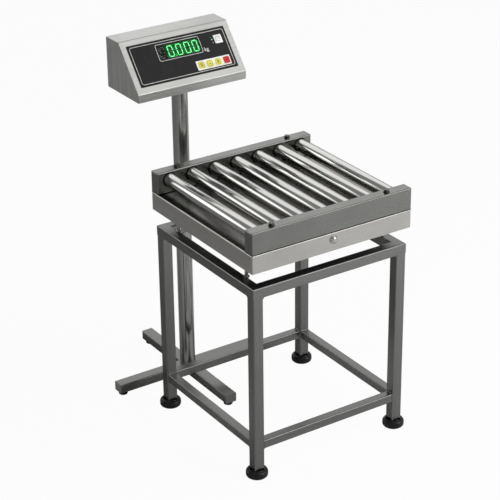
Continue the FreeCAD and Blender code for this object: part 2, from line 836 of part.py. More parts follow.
def bottom_cover():
    """Flat plate that closes the housing from below."""
    side_room = 2 * (housing_sheet + cover_gap)
    body = block(housing_width - side_room, housing_depth - side_room, cover_sheet,
                 stand_x, housing_y, housing_floor)
    for x, y in corner_tab_places() + flange_screw_places():
        body = body.cut(rod(small_screw_radius + bolt_gap, cover_sheet + 2 * cut_overrun,
                            Vec(x, y, housing_floor - cut_overrun)))
    return body


def cover_screws():
    """Screws up into the housing's tabs, and screws down into the spigot's flange."""
    solids = []
    for x, y in corner_tab_places():
        head = rod(small_head_radius, small_head_height, Vec(x, y, housing_floor - small_head_height))
        shank = rod(small_screw_radius, cover_sheet + small_screw_bite, Vec(x, y, housing_floor))
        solids.append(head.fuse(shank).removeSplitter())
    for x, y in flange_screw_places():
        head = rod(small_head_radius, small_head_height, Vec(x, y, cover_top))
        shank = rod(small_screw_radius, cover_sheet + flange_thickness, Vec(x, y, column_top))
        solids.append(head.fuse(shank).removeSplitter())
    return group(solids)


def swivel_spigot():
    """Flange on the column's rim, with a tube that turns inside the column."""
    centre = Vec(stand_x, stand_y, column_top)
    radius = column_radius - column_wall - turn_gap
    tube = ring(radius, radius - spigot_wall, spigot_reach, centre - Vec(0, 0, spigot_reach))
    flange = ring(flange_radius, radius - spigot_wall, flange_thickness, centre)
    body = tube.fuse(flange)
    for x, y in flange_screw_places():
        body = body.cut(rod(small_screw_radius + bolt_gap, flange_thickness + 2 * cut_overrun,
                            Vec(x, y, column_top - cut_overrun)))
    return body.removeSplitter()


def membrane():
    """Thin overlay on the panel, open for the window and the keys."""
    middle = membrane_low + membrane_height / 2
    body = on_panel(plate(membrane_width, membrane_height, membrane_thickness, membrane_corner), 0, middle, 0)
    u, v = window_centre()
    hole = plate(window_width, window_height, membrane_thickness + 2 * cut_overrun, window_corner)
    body = body.cut(on_panel(hole, u, v, -cut_overrun))
    for tool in key_openings(membrane_thickness, 0):
        body = body.cut(tool)
    return body


def display_window():
    """Clear pane, flush with the membrane."""
    u, v = window_centre()
    pane = plate(window_width - 2 * window_fit, window_height - 2 * window_fit, membrane_thickness,
                 window_corner - window_fit)
    return on_panel(pane, u, v, 0)


def display_module():
    """Display block between the board and the panel's opening."""
    u, v = window_centre()
    depth = board_depth - housing_sheet - module_gap
    return on_panel(block(window_width, window_height, depth), u, v, -board_depth)


def key(name):
    """One key in its hole."""
    u, v, width, height, corner = keys()[name]
    return on_panel(plate(width, height, key_root + membrane_thickness + key_proud, corner), u, v, -key_root)


def main_board():
    """Circuit board on four posts behind the panel, with a switch under each key."""
    middle = membrane_low + membrane_height / 2
    board = block(board_width, board_height, board_thickness)
    solids = [on_panel(board, 0, middle, -board_depth - board_thickness)]
    post_length = board_depth - housing_sheet
    for sign_u in (-1, 1):
        for sign_v in (-1, 1):
            u = sign_u * (board_width / 2 - board_post_inset)
            v = middle + sign_v * (board_height / 2 - board_post_inset)
            solids.append(on_panel(rod(board_post_radius, post_length, Vec(0, 0, 0)), u, v, -board_depth))
    switch_length = board_depth - key_root - key_travel - key_stop_gap
    for u, v, _, _, _ in keys().values():
        solids.append(on_panel(rod(switch_radius, switch_length, Vec(0, 0, 0)), u, v, -board_depth))
    return group(solids)


def battery():
    """Rechargeable block on the bottom cover, against the back wall, with its two terminals."""
    y = housing_back - housing_sheet - battery_wall_gap - battery_depth / 2
    x = stand_x + battery_x
    body = block(battery_width, battery_depth, battery_height, x, y, cover_top)
    for sign in (-1, 1):
        body = body.fuse(block(terminal_width, terminal_width / 2, terminal_height,
                               x + sign * terminal_pitch / 2, y, cover_top + battery_height))
    return body.removeSplitter()


def cable_glands():
    """Two empty glands in the back wall, each with its lock nut inside."""
    solids = []
    for place in gland_places():
        thread = housing_sheet + gland_nut_thickness
        body = rod(gland_shank_radius, thread + gland_hex_thickness, place - Vec(0, thread, 0), Y_AXIS)
        body = body.fuse(hexagon(gland_hex_radius, gland_hex_thickness, place, Y_AXIS))
        dome = Part.makeCone(gland_dome_radius, gland_dome_tip_radius, gland_dome_length,
                             place + Vec(0, gland_hex_thickness, 0), Y_AXIS)
        body = body.fuse(dome)
        bore_length = thread + gland_hex_thickness + gland_dome_length + 2 * cut_overrun
        body = body.cut(rod(gland_bore_radius, bore_length, place - Vec(0, thread + cut_overrun, 0), Y_AXIS))
        solids.append(body.removeSplitter())
        solids.append(nut(gland_hex_radius, gland_shank_radius + bolt_gap, gland_nut_thickness,
                          place - Vec(0, thread, 0), Y_AXIS))
    return group(solids)


# The whole set

def build_all():
    """Every sub-part by name, around the table's centre on the floor."""
    shapes = {}
    for end, sign_y in ENDS:
        for side, sign_x in SIDES:
            shapes["leg_%s_%s" % (end, side)] = leg(sign_x, sign_y)
            shapes["levelling_foot_%s_%s" % (end, side)] = levelling_foot(sign_x, sign_y)
    along, across = mitred_rails(table_length, table_width, table_tube, table_tube_wall, table_tube_corner,
                                 table_height - table_tube)
    shapes["top_rails_long"] = group(along)
    shapes["top_rails_side"] = group(across)
    shapes["lower_rails_long"] = lower_rails(X_AXIS)
    shapes["lower_rails_side"] = lower_rails(Y_AXIS)
    shapes["base_frame"] = base_frame()
    shapes["base_feet"] = base_feet()
    shapes["overload_stops"] = overload_stops()
    shapes["load_cell"] = load_cell()
    shapes["cell_base_bolts"] = cell_base_bolts()
    shapes["cell_top_bolts"] = cell_top_bolts()
    shapes["platform_spider"] = spider()
    shapes["support_pads"] = support_pads()
    shapes["tray"] = tray()
    shapes["front_cap_screw"] = front_cap_screw()
    shapes["channel_front"] = channel(-1)
    shapes["channel_back"] = channel(1)
    shapes["channel_bolts"] = channel_bolts()
    for number, x in enumerate(roller_places(), 1):
        shapes["roller_%d_tube" % number] = roller_tube(x)
        shapes["roller_%d_bearings" % number] = roller_bearings(x)
    shapes["roller_axles"] = roller_axles()
    shapes["axle_clips"] = axle_clips()
    shapes["stand_beam"] = stand_beam()
    shapes["stand_side_arms"] = stand_side_arms()
    shapes["stand_feet"] = stand_feet()
    shapes["column"] = column()
    shapes["housing"] = housing()
    shapes["bottom_cover"] = bottom_cover()
    shapes["cover_screws"] = cover_screws()
    shapes["swivel_spigot"] = swivel_spigot()
    shapes["membrane"] = membrane()
    shapes["display_window"] = display_window()
    shapes["display_module"] = display_module()
    shapes["main_board"] = main_board()
    shapes["battery"] = battery()
    shapes["cable_glands"] = cable_glands()
    for name in keys():
        shapes[name] = key(name)
    return shapes


def origin_shift(shapes):
    """The move that puts the origin in the middle of the floor space that the set covers."""
    box = Part.makeCompound(list(shapes.values())).optimalBoundingBox(False, False)
    return Vec(-(box.XMin + box.XMax) / 2, -(box.YMin + box.YMax) / 2, -box.ZMin)


parts = build_all()
shift = origin_shift(parts)
os.makedirs("parts", exist_ok=True)
for node, shape in parts.items():
    shape.translate(shift)
    shape.exportStep("parts/%s.step" % node)
print("%d sub-parts, moved by %.3f, %.3f, %.3f" % (len(parts), shift.x, shift.y, shift.z))
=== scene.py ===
"""Looks of a roller conveyor scale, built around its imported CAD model.

The set is a welded table that carries a platform scale with seven gravity rollers, and a free-standing
column beside it with the sloping weight indicator. Lengths are metres in the row frame of the model: X runs
along the conveying direction, Y along the rollers towards the column, Z up from the floor.
"""

import logging
import math
from dataclasses import dataclass
from enum import Enum
from typing import Callable, Iterable, Sequence

import bmesh
import bpy
from mathutils import Matrix, Vector


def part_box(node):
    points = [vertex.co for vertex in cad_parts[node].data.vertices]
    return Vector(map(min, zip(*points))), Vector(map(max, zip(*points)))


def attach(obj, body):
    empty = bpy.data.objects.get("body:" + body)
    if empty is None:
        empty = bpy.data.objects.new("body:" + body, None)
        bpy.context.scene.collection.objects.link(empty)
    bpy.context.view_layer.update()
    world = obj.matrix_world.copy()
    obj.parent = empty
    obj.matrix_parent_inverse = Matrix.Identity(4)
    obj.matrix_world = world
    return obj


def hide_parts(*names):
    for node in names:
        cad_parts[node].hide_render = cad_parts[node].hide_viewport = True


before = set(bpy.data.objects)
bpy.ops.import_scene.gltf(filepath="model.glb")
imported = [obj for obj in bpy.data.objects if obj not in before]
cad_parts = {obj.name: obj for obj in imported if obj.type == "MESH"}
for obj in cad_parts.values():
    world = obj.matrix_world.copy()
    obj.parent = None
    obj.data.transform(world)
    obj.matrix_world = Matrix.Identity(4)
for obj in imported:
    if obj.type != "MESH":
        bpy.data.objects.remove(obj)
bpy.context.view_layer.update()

LOG = logging.getLogger("roller_scale")
MM = 0.001
QUARTER = math.pi / 2
SHARP = 40.0
WELD_SHARP = 50.0
ROLLERS = range(1, 8)
TABLE_CORNERS = ("front_left", "front_right", "back_left", "back_right")
Colour = tuple[float, float, float]
Piece = bpy.types.Object
Socket = bpy.types.NodeSocket
Node = bpy.types.Node
Inputs = dict[object, object]


# Modelling tools


def deselect() -> None:
    """Leave edit mode and deselect every object."""
    if bpy.context.mode != "OBJECT":
        bpy.ops.object.mode_set(mode="OBJECT")
    bpy.ops.object.select_all(action="DESELECT")


def activate(piece: Piece) -> None:
    """Make one object the only selected and active one.

    Args:
        piece: the object to work on.
    """
    deselect()
    piece.select_set(True)
    bpy.context.view_layer.objects.active = piece


def take_new(name: str) -> Piece:
    """Name the object that an operator has just added, and its data.

    Args:
        name: the new name.

    Returns:
        The object.
    """
    piece = bpy.context.active_object
    piece.name = piece.data.name = name
    return piece


def discard(*pieces: Piece) -> None:
    """Remove objects that were only models for others."""
    for piece in pieces:
        bpy.data.objects.remove(piece)


def start_edit(piece: Piece) -> None:
    """Enter edit mode on one object with nothing selected.

    Args:
        piece: the object to shape.
    """
    activate(piece)
    bpy.ops.object.mode_set(mode="EDIT")
    bpy.ops.mesh.select_all(action="DESELECT")


def end_edit() -> None:
    """Turn every face outwards and go back to object mode."""
    bpy.ops.mesh.select_all(action="SELECT")
    bpy.ops.mesh.normals_make_consistent(inside=False)
    bpy.ops.object.mode_set(mode="OBJECT")


def choose(piece: Piece, kind: str, test: Callable[[object], bool] = lambda element: True) -> None:
    """Select the faces, edges or vertices of a piece in edit mode that pass a test.

    Args:
        piece: the object in edit mode.
        kind: FACE, EDGE or VERT.
        test: says whether an element is taken; without it all are.
    """
    bpy.ops.mesh.select_mode(type=kind)
    bpy.ops.mesh.select_all(action="DESELECT")
    mesh = bmesh.from_edit_mesh(piece.data)
    for element in {"FACE": mesh.faces, "EDGE": mesh.edges, "VERT": mesh.verts}[kind]:
        if test(element):
            element.select_set(True)
    mesh.select_flush_mode()
    bmesh.update_edit_mesh(piece.data)


def extrude(x: float, y: float, z: float) -> None:
    """Extrude the selection by a distance along each axis."""
    bpy.ops.mesh.extrude_region_move(TRANSFORM_OT_translate={"value": (x, y, z)})


def move(x: float, y: float, z: float = 0.0) -> Matrix:
    """The place that lies a distance away along each axis."""
    return Matrix.Translation((x, y, z))


def turn(angle: float, axis: str) -> Matrix:
    """The place that is turned by an angle about X, Y or Z."""
    return Matrix.Rotation(angle, 4, axis)


def apply_place(piece: Piece, place: Matrix) -> None:
    """Write a place into the mesh, so that the object itself stays at the origin.

    Args:
        piece: the object to place.
        place: where its own frame goes in the row frame.
    """
    piece.matrix_world = place
    activate(piece)
    bpy.ops.object.transform_apply(location=True, rotation=True, scale=True)


def smooth(piece: Piece, angle: float = SHARP) -> None:
    """Shade a piece smooth except across sharp edges.

    Args:
        piece: the object to shade.
        angle: edges sharper than this many degrees stay sharp.
    """
    activate(piece)
    bpy.ops.object.shade_smooth_by_angle(angle=math.radians(angle))


def copy_of(piece: Piece, name: str, place: Matrix) -> Piece:
    """Copy a finished piece with its own mesh.

    Args:
        piece: the piece to copy.
        name: the copy's name.
        place: moves the copy's mesh from the first piece's place.

    Returns:
        The new object, with its place in its mesh.
    """
    copy = piece.copy()
    copy.data = piece.data.copy()
    copy.name = copy.data.name = name
    bpy.context.scene.collection.objects.link(copy)
    copy.data.transform(place)
    return copy


def join(pieces: Sequence[Piece], name: str) -> Piece:
    """Make one object of several.

    Args:
        pieces: the objects to join.
        name: the joined object's name.

    Returns:
        The joined object.
    """
    activate(pieces[0])
    for piece in pieces:
        piece.select_set(True)
    bpy.ops.object.join()
    return take_new(name)


def repeat(model: Piece, name: str, places: Iterable[Matrix]) -> Piece:
    """Copy a piece that is modelled once to every place, and join the copies.

    Args:
        model: the piece; it stays.
        name: the joined object's name.
        places: moves each copy's mesh from the model's place.

    Returns:
        The joined object.
    """
    return join([copy_of(model, name, place) for place in places], name)


def add_plane(name: str, width: float, height: float) -> Piece:
    """Add a rectangle at the origin, in edit mode.

    Args:
        name: the object's name.
        width: its size along X.
        height: its size along Y.

    Returns:
        The object, in edit mode with nothing selected.
    """
    deselect()
    bpy.ops.mesh.primitive_plane_add(size=1.0, location=(0, 0, 0))
    piece = take_new(name)
    piece.scale = (width, height, 1.0)
    bpy.ops.object.transform_apply(location=False, rotation=False, scale=True)
    start_edit(piece)
    return piece


def rounded_plate(name: str, width: float, height: float, thickness: float, corner: float) -> Piece:
    """Model a flat plate with rounded corners that stands on z = 0.

    Args:
        name: the object's name.
        width: its size along X.
        height: its size along Y.
        thickness: how far it rises.
        corner: the radius of its upright corners.

    Returns:
        The finished object in object mode.
    """
    piece = add_plane(name, width, height)
    choose(piece, "VERT")
    bpy.ops.mesh.bevel(offset=corner, segments=6, affect="VERTICES")
    choose(piece, "FACE")
    extrude(0, 0, thickness)
    end_edit()
    return piece


def rounded_ring(name: str, width: float, height: float, corner: float, line: float,
                 thickness: float) -> Piece:
    """Model a closed band around a rounded rectangle, standing on z = 0.

    Args:
        name: the object's name.
        width: the outline's outer size along X.
        height: the outline's outer size along Y.
        corner: the outer corner radius.
        line: the band's width.
        thickness: how far it rises.

    Returns:
        The finished object in object mode.
    """
    piece = add_plane(name, width, height)
    choose(piece, "VERT")
    bpy.ops.mesh.bevel(offset=corner, segments=8, affect="VERTICES")
    choose(piece, "FACE")
    bpy.ops.mesh.inset(thickness=line)
    bpy.ops.mesh.delete(type="FACE")
    choose(piece, "FACE")
    extrude(0, 0, thickness)
    end_edit()
    return piece


def turned(name: str, stations: Sequence[tuple[float, float]], sides: int = 64) -> Piece:
    """Model a round piece about Z by stepping a disc up through its stations.

    Args:
        name: the object's name.
        stations: (radius, height) pairs from the bottom disc to the top one.
        sides: how many sides the round has.

    Returns:
        The finished object in object mode.
    """
    deselect()
    bpy.ops.mesh.primitive_circle_add(vertices=sides, radius=stations[0][0], fill_type="NGON",
                                      location=(0, 0, stations[0][1]))
    piece = take_new(name)
    bpy.ops.object.transform_apply(location=True, rotation=False, scale=False)
    start_edit(piece)
    choose(piece, "FACE")
    for (radius, height), (next_radius, next_height) in zip(stations, stations[1:]):
        extrude(0, 0, next_height - height)
        scale = next_radius / radius
        bpy.ops.transform.resize(value=(scale, scale, 1.0), center_override=(0, 0, next_height))
    end_edit()
    return piece


def arc(centre_radius: float, centre_height: float, radius: float, start: float, stop: float,
        steps: int) -> list[tuple[float, float]]:
    """Stations along a round stretch of a turned outline.

    Args:
        centre_radius: the arc centre's distance from the axis.
        centre_height: the arc centre's height.
        radius: the arc's radius.
        start: the first angle in degrees, where 0 points outwards and 90 up.
        stop: the last angle in degrees.
        steps: how many runs the arc has.

    Returns:
        (radius, height) pairs.
    """
    angles = [math.radians(start + (stop - start) * step / steps) for step in range(steps + 1)]
    return [(centre_radius + radius * math.cos(angle), centre_height + radius * math.sin(angle))
            for angle in angles]


def open_tube(name: str, radius: float, length: float, wall: float, sides: int, rim: float = 0.0) -> Piece:
    """Model a round tube about Z with open ends, centred on the origin.

    Args:
        name: the object's name.
        radius: its outer radius.
        length: its length.
        wall: its wall's thickness.
        sides: how many sides the round has.
        rim: the rounding of its outer end edges.

    Returns:
        The finished object in object mode.
    """
    deselect()
    bpy.ops.mesh.primitive_cylinder_add(vertices=sides, radius=radius, depth=length, end_fill_type="NGON",
                                        location=(0, 0, 0))
    tube = take_new(name)
    start_edit(tube)
    choose(tube, "FACE", lambda face: len(face.verts) > 4)
    bpy.ops.mesh.inset(thickness=wall)
    bpy.ops.mesh.delete(type="FACE")
    between = radius - wall / 2
    choose(tube, "EDGE", lambda line: all(vert.co.xy.length < between for vert in line.verts))
    bpy.ops.mesh.bridge_edge_loops()
    if rim > 0:
        choose(tube, "EDGE", lambda line: all(vert.co.xy.length > between for vert in line.verts)
               and abs(line.verts[0].co.z - line.verts[1].co.z) < rim)
        bpy.ops.mesh.bevel(offset=rim, segments=3, affect="EDGES")
    end_edit()
    return tube


def fit_out(piece: Piece, body: str, finish: "Finish", slot: str, *nodes: str) -> None:
    """Give a finished piece its material, its body and the CAD nodes that it stands for.

    Args:
        piece: the finished object.
        body: the CAD body that it rides on.
        finish: the surface finish.
        slot: the record's material slot; not used.
        nodes: CAD nodes that it replaces.
    """
    piece.data.materials.clear()
    piece.data.materials.append(finish.material())
    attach(piece, body)
    if nodes:
        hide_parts(*nodes)


def dress(finishes: dict[str, "Finish"]) -> None:
    """Put finishes on CAD nodes that stay in view.

    Args:
        finishes: the surface finish for each node's name.
    """
    for node, finish in finishes.items():
        for material_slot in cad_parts[node].material_slots:
            material_slot.material = finish.material()


def middle(node: str) -> Vector:
    """The middle of a CAD node's box."""
    low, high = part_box(node)
    return (low + high) / 2


# Shader building


class Effect(Enum):
    """The shared surface effects, each a node group that is built once."""

    GRAIN = "grain_lines"
    HANDLING = "handling_marks"
    DUST = "settled_dust"


class Wiring:
    """A node tree with short ways to add and join nodes."""

    def __init__(self, tree: bpy.types.NodeTree) -> None:
        """Keep the tree to work in."""
        self.tree = tree

    def fill(self, node: Node, inputs: Inputs) -> None:
        """Join sockets to a node's inputs, or set the inputs to plain values.

        Args:
            node: the node.
            inputs: a socket, a number, three numbers or a colour for each input's name or place.
        """
        for key, value in inputs.items():
            target = node.inputs[key]
            if isinstance(value, Socket):
                self.tree.links.new(value, target)
            else:
                target.default_value = (*value, 1.0) if target.type == "RGBA" else value

    def node(self, kind: str, inputs: Inputs | None = None, **settings: object) -> Node:
        """Add a node.

        Args:
            kind: the node's class name.
            inputs: what its inputs get; see fill.
            settings: attributes to set on it.

        Returns:
            The node.
        """
        made = self.tree.nodes.new(kind)
        for name, value in settings.items():
            setattr(made, name, value)
        self.fill(made, inputs or {})
        return made

    def math(self, operation: str, first: object, second: object = 0.0) -> Socket:
        """Join two numbers or sockets by a math operation."""
        return self.node("ShaderNodeMath", {0: first, 1: second}, operation=operation).outputs[0]

    def mix(self, factor: Socket, first: object, second: object) -> Socket:
        """Mix two colours or colour sockets; the factor says how much of the second one shows."""
        inputs = {"Factor": factor, 6: first, 7: second}
        return self.node("ShaderNodeMix", inputs, data_type="RGBA").outputs[2]

    def more(self, value: object, mask: Socket, share: float) -> Socket:
        """Add a share of a mask to a value."""
        return self.math("ADD", value, self.math("MULTIPLY", mask, share))

    def blend(self, mask: Socket, first: object, second: object) -> Socket:
        """Go from one value to another as the mask goes from 0 to 1."""
        kept = self.math("MULTIPLY", first, self.math("SUBTRACT", 1.0, mask))
        return self.math("ADD", kept, self.math("MULTIPLY", mask, second))

    def span(self, value: Socket, low: float, high: float, out_low: float = 0.0,
             out_high: float = 1.0) -> Socket:
        """Map a value from one range to another, held at the ends.

        Args:
            value: the socket to map.
            low: the input that gives out_low.
            high: the input that gives out_high.
            out_low: the lower result.
            out_high: the upper result.

        Returns:
            The mapped value's socket.
        """
        inputs = {"Value": value, "From Min": low, "From Max": high, "To Min": out_low, "To Max": out_high}
        return self.node("ShaderNodeMapRange", inputs, interpolation_type="SMOOTHSTEP").outputs["Result"]

    def noise(self, place: Socket, scale: object, detail: float = 2.0, **others: float) -> Socket:
        """Add a cloudy pattern.

        Args:
            place: the coordinates that it reads.
            scale: how fine it is.
            detail: how many finer layers it has.
            others: values for its other inputs.

        Returns:
            The pattern's socket, 0 to 1.
        """
        inputs = {"Vector": place, "Scale": scale, "Detail": detail, **others}
        return self.node("ShaderNodeTexNoise", inputs, noise_dimensions="3D").outputs["Fac"]

    def axis(self, vector: Socket, name: str) -> Socket:
        """One part of a vector: X, Y or Z."""
        return self.node("ShaderNodeSeparateXYZ", {0: vector}).outputs[name]

    def coordinates(self, name: str) -> Socket:
        """Texture coordinates by their name."""
        return self.node("ShaderNodeTexCoord").outputs[name]

    def effect(self, kind: Effect, place: Socket, **inputs: object) -> Socket:
        """Place a shared effect.

        Args:
            kind: which effect.
            place: the coordinates that it reads.
            inputs: values for the group's other inputs.

        Returns:
            The effect's socket, 0 to 1.
        """
        tree = bpy.data.node_groups.get(kind.value) or EFFECT_BUILDERS[kind]()
        return self.node("ShaderNodeGroup", {"Place": place, **inputs}, node_tree=tree).outputs[0]

    def mix_shaders(self, share: Socket, first: Node, second: Node) -> Socket:
        """Mix two shader nodes; the share says how much of the second one shows."""
        inputs = {0: share, 1: first.outputs[0], 2: second.outputs[0]}
        return self.node("ShaderNodeMixShader", inputs).outputs[0]


def new_group(kind: Effect, inputs: dict[str, float | None],
              output: str) -> tuple[Wiring, dict[str, Socket], Node]:
    """Start a node group with its sockets.

    Args:
        kind: the effect that it makes.
        inputs: each input's name with its default number, or None where it is a vector.
        output: the name of the number that it puts out.

    Returns:
        Its wiring, the sockets that bring its inputs, and its output node.
    """
    tree = bpy.data.node_groups.new(kind.value, "ShaderNodeTree")
    for label, default in inputs.items():
        shape = "NodeSocketVector" if default is None else "NodeSocketFloat"
        socket = tree.interface.new_socket(name=label, in_out="INPUT", socket_type=shape)
        if default is not None:
            socket.default_value = default
    tree.interface.new_socket(name=output, in_out="OUTPUT", socket_type="NodeSocketFloat")
    wiring = Wiring(tree)
    given = dict(wiring.node("NodeGroupInput").outputs.items())
    return wiring, given, wiring.node("NodeGroupOutput")


def build_grain() -> bpy.types.NodeTree:
    """Fine and broad brush lines along one direction.

    Returns:
        The node group: Place and Stretch in; Lines (0 to 1) out.
    """
    wiring, given, end = new_group(Effect.GRAIN, {"Place": None, "Stretch": None}, "Lines")
    inputs = {0: given["Place"], 1: given["Stretch"]}
    place = wiring.node("ShaderNodeVectorMath", inputs, operation="MULTIPLY").outputs[0]
    fine = wiring.math("MULTIPLY", wiring.noise(place, 28.0, 3.0, Roughness=0.65), 0.55)
    both = wiring.more(fine, wiring.noise(place, 5.0), 0.45)
    wiring.fill(end, {"Lines": wiring.span(both, 0.3, 0.7)})
    return wiring.tree


def build_handling() -> bpy.types.NodeTree:
    """Soft cloudy marks that hands and cloths leave on metal and plastic.

    Returns:
        The node group: Place and Spread in; Marks (0 to 1) out.
    """
    wiring, given, end = new_group(Effect.HANDLING, {"Place": None, "Spread": 9.0}, "Marks")
    cloud = wiring.noise(given["Place"], given["Spread"], 4.0, Distortion=0.6)
    wiring.fill(end, {"Marks": wiring.span(cloud, 0.38, 0.66)})
    return wiring.tree


def build_dust() -> bpy.types.NodeTree:
    """Fine dust that settles near the floor and on upward faces.

    Returns:
        The node group: Place and Reach in; Dust (0 to 1) out.
    """
    wiring, given, end = new_group(Effect.DUST, {"Place": None, "Reach": 0.1}, "Dust")
    height = wiring.math("DIVIDE", wiring.axis(given["Place"], "Z"), given["Reach"])
    low = wiring.math("MAXIMUM", wiring.math("SUBTRACT", 1.0, height), 0.0)
    upward = wiring.span(wiring.axis(wiring.coordinates("Normal"), "Z"), 0.2, 1.0, 0.25, 1.0)
    specks = wiring.span(wiring.noise(given["Place"], 900.0), 0.42, 0.62)
    wiring.fill(end, {"Dust": wiring.math("MULTIPLY", wiring.math("MULTIPLY", low, upward), specks)})
    return wiring.tree


EFFECT_BUILDERS = {Effect.GRAIN: build_grain, Effect.HANDLING: build_handling, Effect.DUST: build_dust}


class Surface(Wiring):
    """A material's tree with its shader and its object coordinates."""

    def __init__(self, material: bpy.types.Material) -> None:
        """Start the tree of a new material.

        Args:
            material: the material.
        """
        material.use_nodes = True
        super().__init__(material.node_tree)
        self.shader = self.tree.nodes["Principled BSDF"]
        self.place = self.coordinates("Object")

    def look(self, **inputs: object) -> None:
        """Fill the shader's inputs, whose names are written here with low lines for spaces."""
        self.fill(self.shader, {name.replace("_", " "): value for name, value in inputs.items()})

    def bump(self, height: Socket, strength: float, depth: float) -> None:
        """Feed a height to the shader's normal.

        Args:
            height: the height's socket, 0 to 1.
            strength: how strongly it tilts the surface.
            depth: the height of 1, in metres.
        """
        inputs = {"Strength": strength, "Distance": depth, "Height": height}
        self.look(Normal=self.node("ShaderNodeBump", inputs).outputs["Normal"])


class Grain(Enum):
    """Which way a sheet, bar or tube was brushed: how much finer the lines are along X, Y and Z."""

    ALONG_X = (0.35, 30.0, 30.0)
    ALONG_Y = (30.0, 0.35, 30.0)
    ALONG_Z = (30.0, 30.0, 0.35)


@dataclass(frozen=True)
class Finish:
    """A surface finish; each kind of finish says how its material is wired."""

    name: str
    colour: Colour
    roughness: float

    def material(self) -> bpy.types.Material:
        """Build the material, or return it where it is already there.

        Returns:
            The material.
        """
        label = "finish_" + self.name
        made = bpy.data.materials.get(label)
        if made is None:
            made = bpy.data.materials.new(label)
            made.diffuse_color = (*self.colour, 1.0)
            surface = Surface(made)
            surface.look(Roughness=self.roughness)
            self.wire(surface)
        return made

    def wire(self, surface: Surface) -> None:
        """Wire the finish's own look on a new surface.

        Args:
            surface: the new material's tree.
        """
        raise NotImplementedError

    def shade(self, share: float) -> Colour:
        """The finish's colour, made lighter or darker; 1 keeps it."""
        return tuple(min(1.0, part * share) for part in self.colour)


@dataclass(frozen=True)
class BrushedSteel(Finish):
    """Stainless steel with brush lines; the faces towards X may be brushed another way and lightened by
    painted light, and upward faces darkened by painted shade.
    """

    grain: Grain = Grain.ALONG_X
    end_grain: Grain | None = None
    contrast: float = 0.10
    painted_light_on_x_sides: float = 1.0
    polished_top: float | None = None
    painted_shade_on_top: float = 1.0

    def tone(self, surface: Surface, lines: Socket, share: float) -> Socket:
        """The colour between and on the brush lines, made lighter or darker by a share; a share other than 1
        paints light on the faces it is used for.
        """
        dark, light = share * (1 - self.contrast), share * (1 + self.contrast)
        return surface.mix(lines, self.shade(dark), self.shade(light))

    def wire(self, surface: Surface) -> None:
        """Wire brush lines, handling marks and their roughness, with painted light on faces towards X and
        painted shade on upward faces.

        Args:
            surface: the new material's tree.
        """
        normal = surface.coordinates("Normal")
        lines = surface.effect(Effect.GRAIN, surface.place, Stretch=self.grain.value)
        if self.end_grain is not None:
            other = surface.effect(Effect.GRAIN, surface.place, Stretch=self.end_grain.value)
            side = surface.span(surface.math("ABSOLUTE", surface.axis(normal, "X")), 0.6, 0.8)
            lines = surface.blend(side, lines, other)
        marks = surface.effect(Effect.HANDLING, surface.place)
        tone = self.tone(surface, lines, 1.0)
        tone = surface.mix(surface.math("MULTIPLY", marks, 0.35), tone, self.shade(0.9))
        # painted light: the faces towards X get a lighter copy of the colour, standing in for how the light
        # falls on them
        if self.painted_light_on_x_sides != 1.0:
            tone = surface.mix(side, tone, self.tone(surface, lines, self.painted_light_on_x_sides))
        rough = surface.more(surface.more(self.roughness - 0.05, lines, 0.09), marks, 0.05)
        if self.polished_top is not None:
            upward = surface.span(surface.axis(normal, "Z"), 0.9, 0.99)
            rough = surface.blend(upward, rough, self.polished_top)
            # painted shade: upward faces get a darker copy of the colour, standing in for how the light
            # falls on them
            tone = surface.mix(upward, tone, self.shade(self.painted_shade_on_top))
        surface.look(Metallic=1.0, Base_Color=tone, Roughness=rough)
        surface.bump(lines, 0.12, 0.02 * MM)


@dataclass(frozen=True)
class PolishedSteel(Finish):
    """Polished or drawn bright metal with faint draw lines and handling marks."""

    grain: Grain = Grain.ALONG_Y

    def wire(self, surface: Surface) -> None:
        """Wire faint lines and marks.

        Args:
            surface: the new material's tree.
        """
        lines = surface.effect(Effect.GRAIN, surface.place, Stretch=self.grain.value)
        marks = surface.effect(Effect.HANDLING, surface.place, Spread=16.0)
        rough = surface.more(surface.more(self.roughness, marks, 0.05), lines, 0.03)
        tone = surface.mix(lines, self.shade(0.95), self.shade(1.04))
        surface.look(Metallic=1.0, Base_Color=tone, Roughness=rough)


@dataclass(frozen=True)
class Moulding(Finish):
    """Moulded plastic, rubber or cured paint: fine texture, handling marks and some dust low down."""

    texture: float = 0.1
    pitch: float = 700.0
    coat: float = 0.0
    specular: float = 0.5
    dust_reach: float = 0.12

    def wire(self, surface: Surface) -> None:
        """Wire the moulded texture, the marks and the dust.

        Args:
            surface: the new material's tree.
        """
        marks = surface.effect(Effect.HANDLING, surface.place, Spread=30.0)
        dust = surface.effect(Effect.DUST, surface.place, Reach=self.dust_reach)
        tone = surface.mix(marks, self.shade(0.9), self.shade(1.12))
        grey = tuple(0.6 * part + 0.12 for part in self.colour)
        tone = surface.mix(surface.math("MULTIPLY", dust, 0.25), tone, grey)
        rough = surface.more(surface.more(self.roughness, marks, 0.08), dust, 0.2)
        surface.look(Base_Color=tone, Roughness=rough, Specular_IOR_Level=self.specular,
                     Coat_Weight=self.coat, Coat_Roughness=0.06)
        surface.bump(surface.noise(surface.place, self.pitch, 3.0), self.texture, 0.05 * MM)


@dataclass(frozen=True)
class Ink(Moulding):
    """Printed ink on the panel and the keys."""

    roughness: float = 0.5
    texture: float = 0.02
    specular: float = 0.2


@dataclass(frozen=True)
class KeyCap(Moulding):
    """The soft plastic of a key."""

    roughness: float = 0.4
    texture: float = 0.05
    specular: float = 0.2


@dataclass(frozen=True)
class Glow(Finish):
    """Lit display parts, which shine a little unevenly in their own colour."""

    strength: float = 1.0
    unevenness: float = 0.12

    def wire(self, surface: Surface) -> None:
        """Wire the glow.

        Args:
            surface: the new material's tree.
        """
        cloud = surface.noise(surface.place, 260.0)
        tone = surface.mix(cloud, self.shade(1 - self.unevenness), self.shade(1 + self.unevenness))
        surface.look(Base_Color=tone, Emission_Color=tone, Emission_Strength=self.strength,
                     Specular_IOR_Level=0.0)


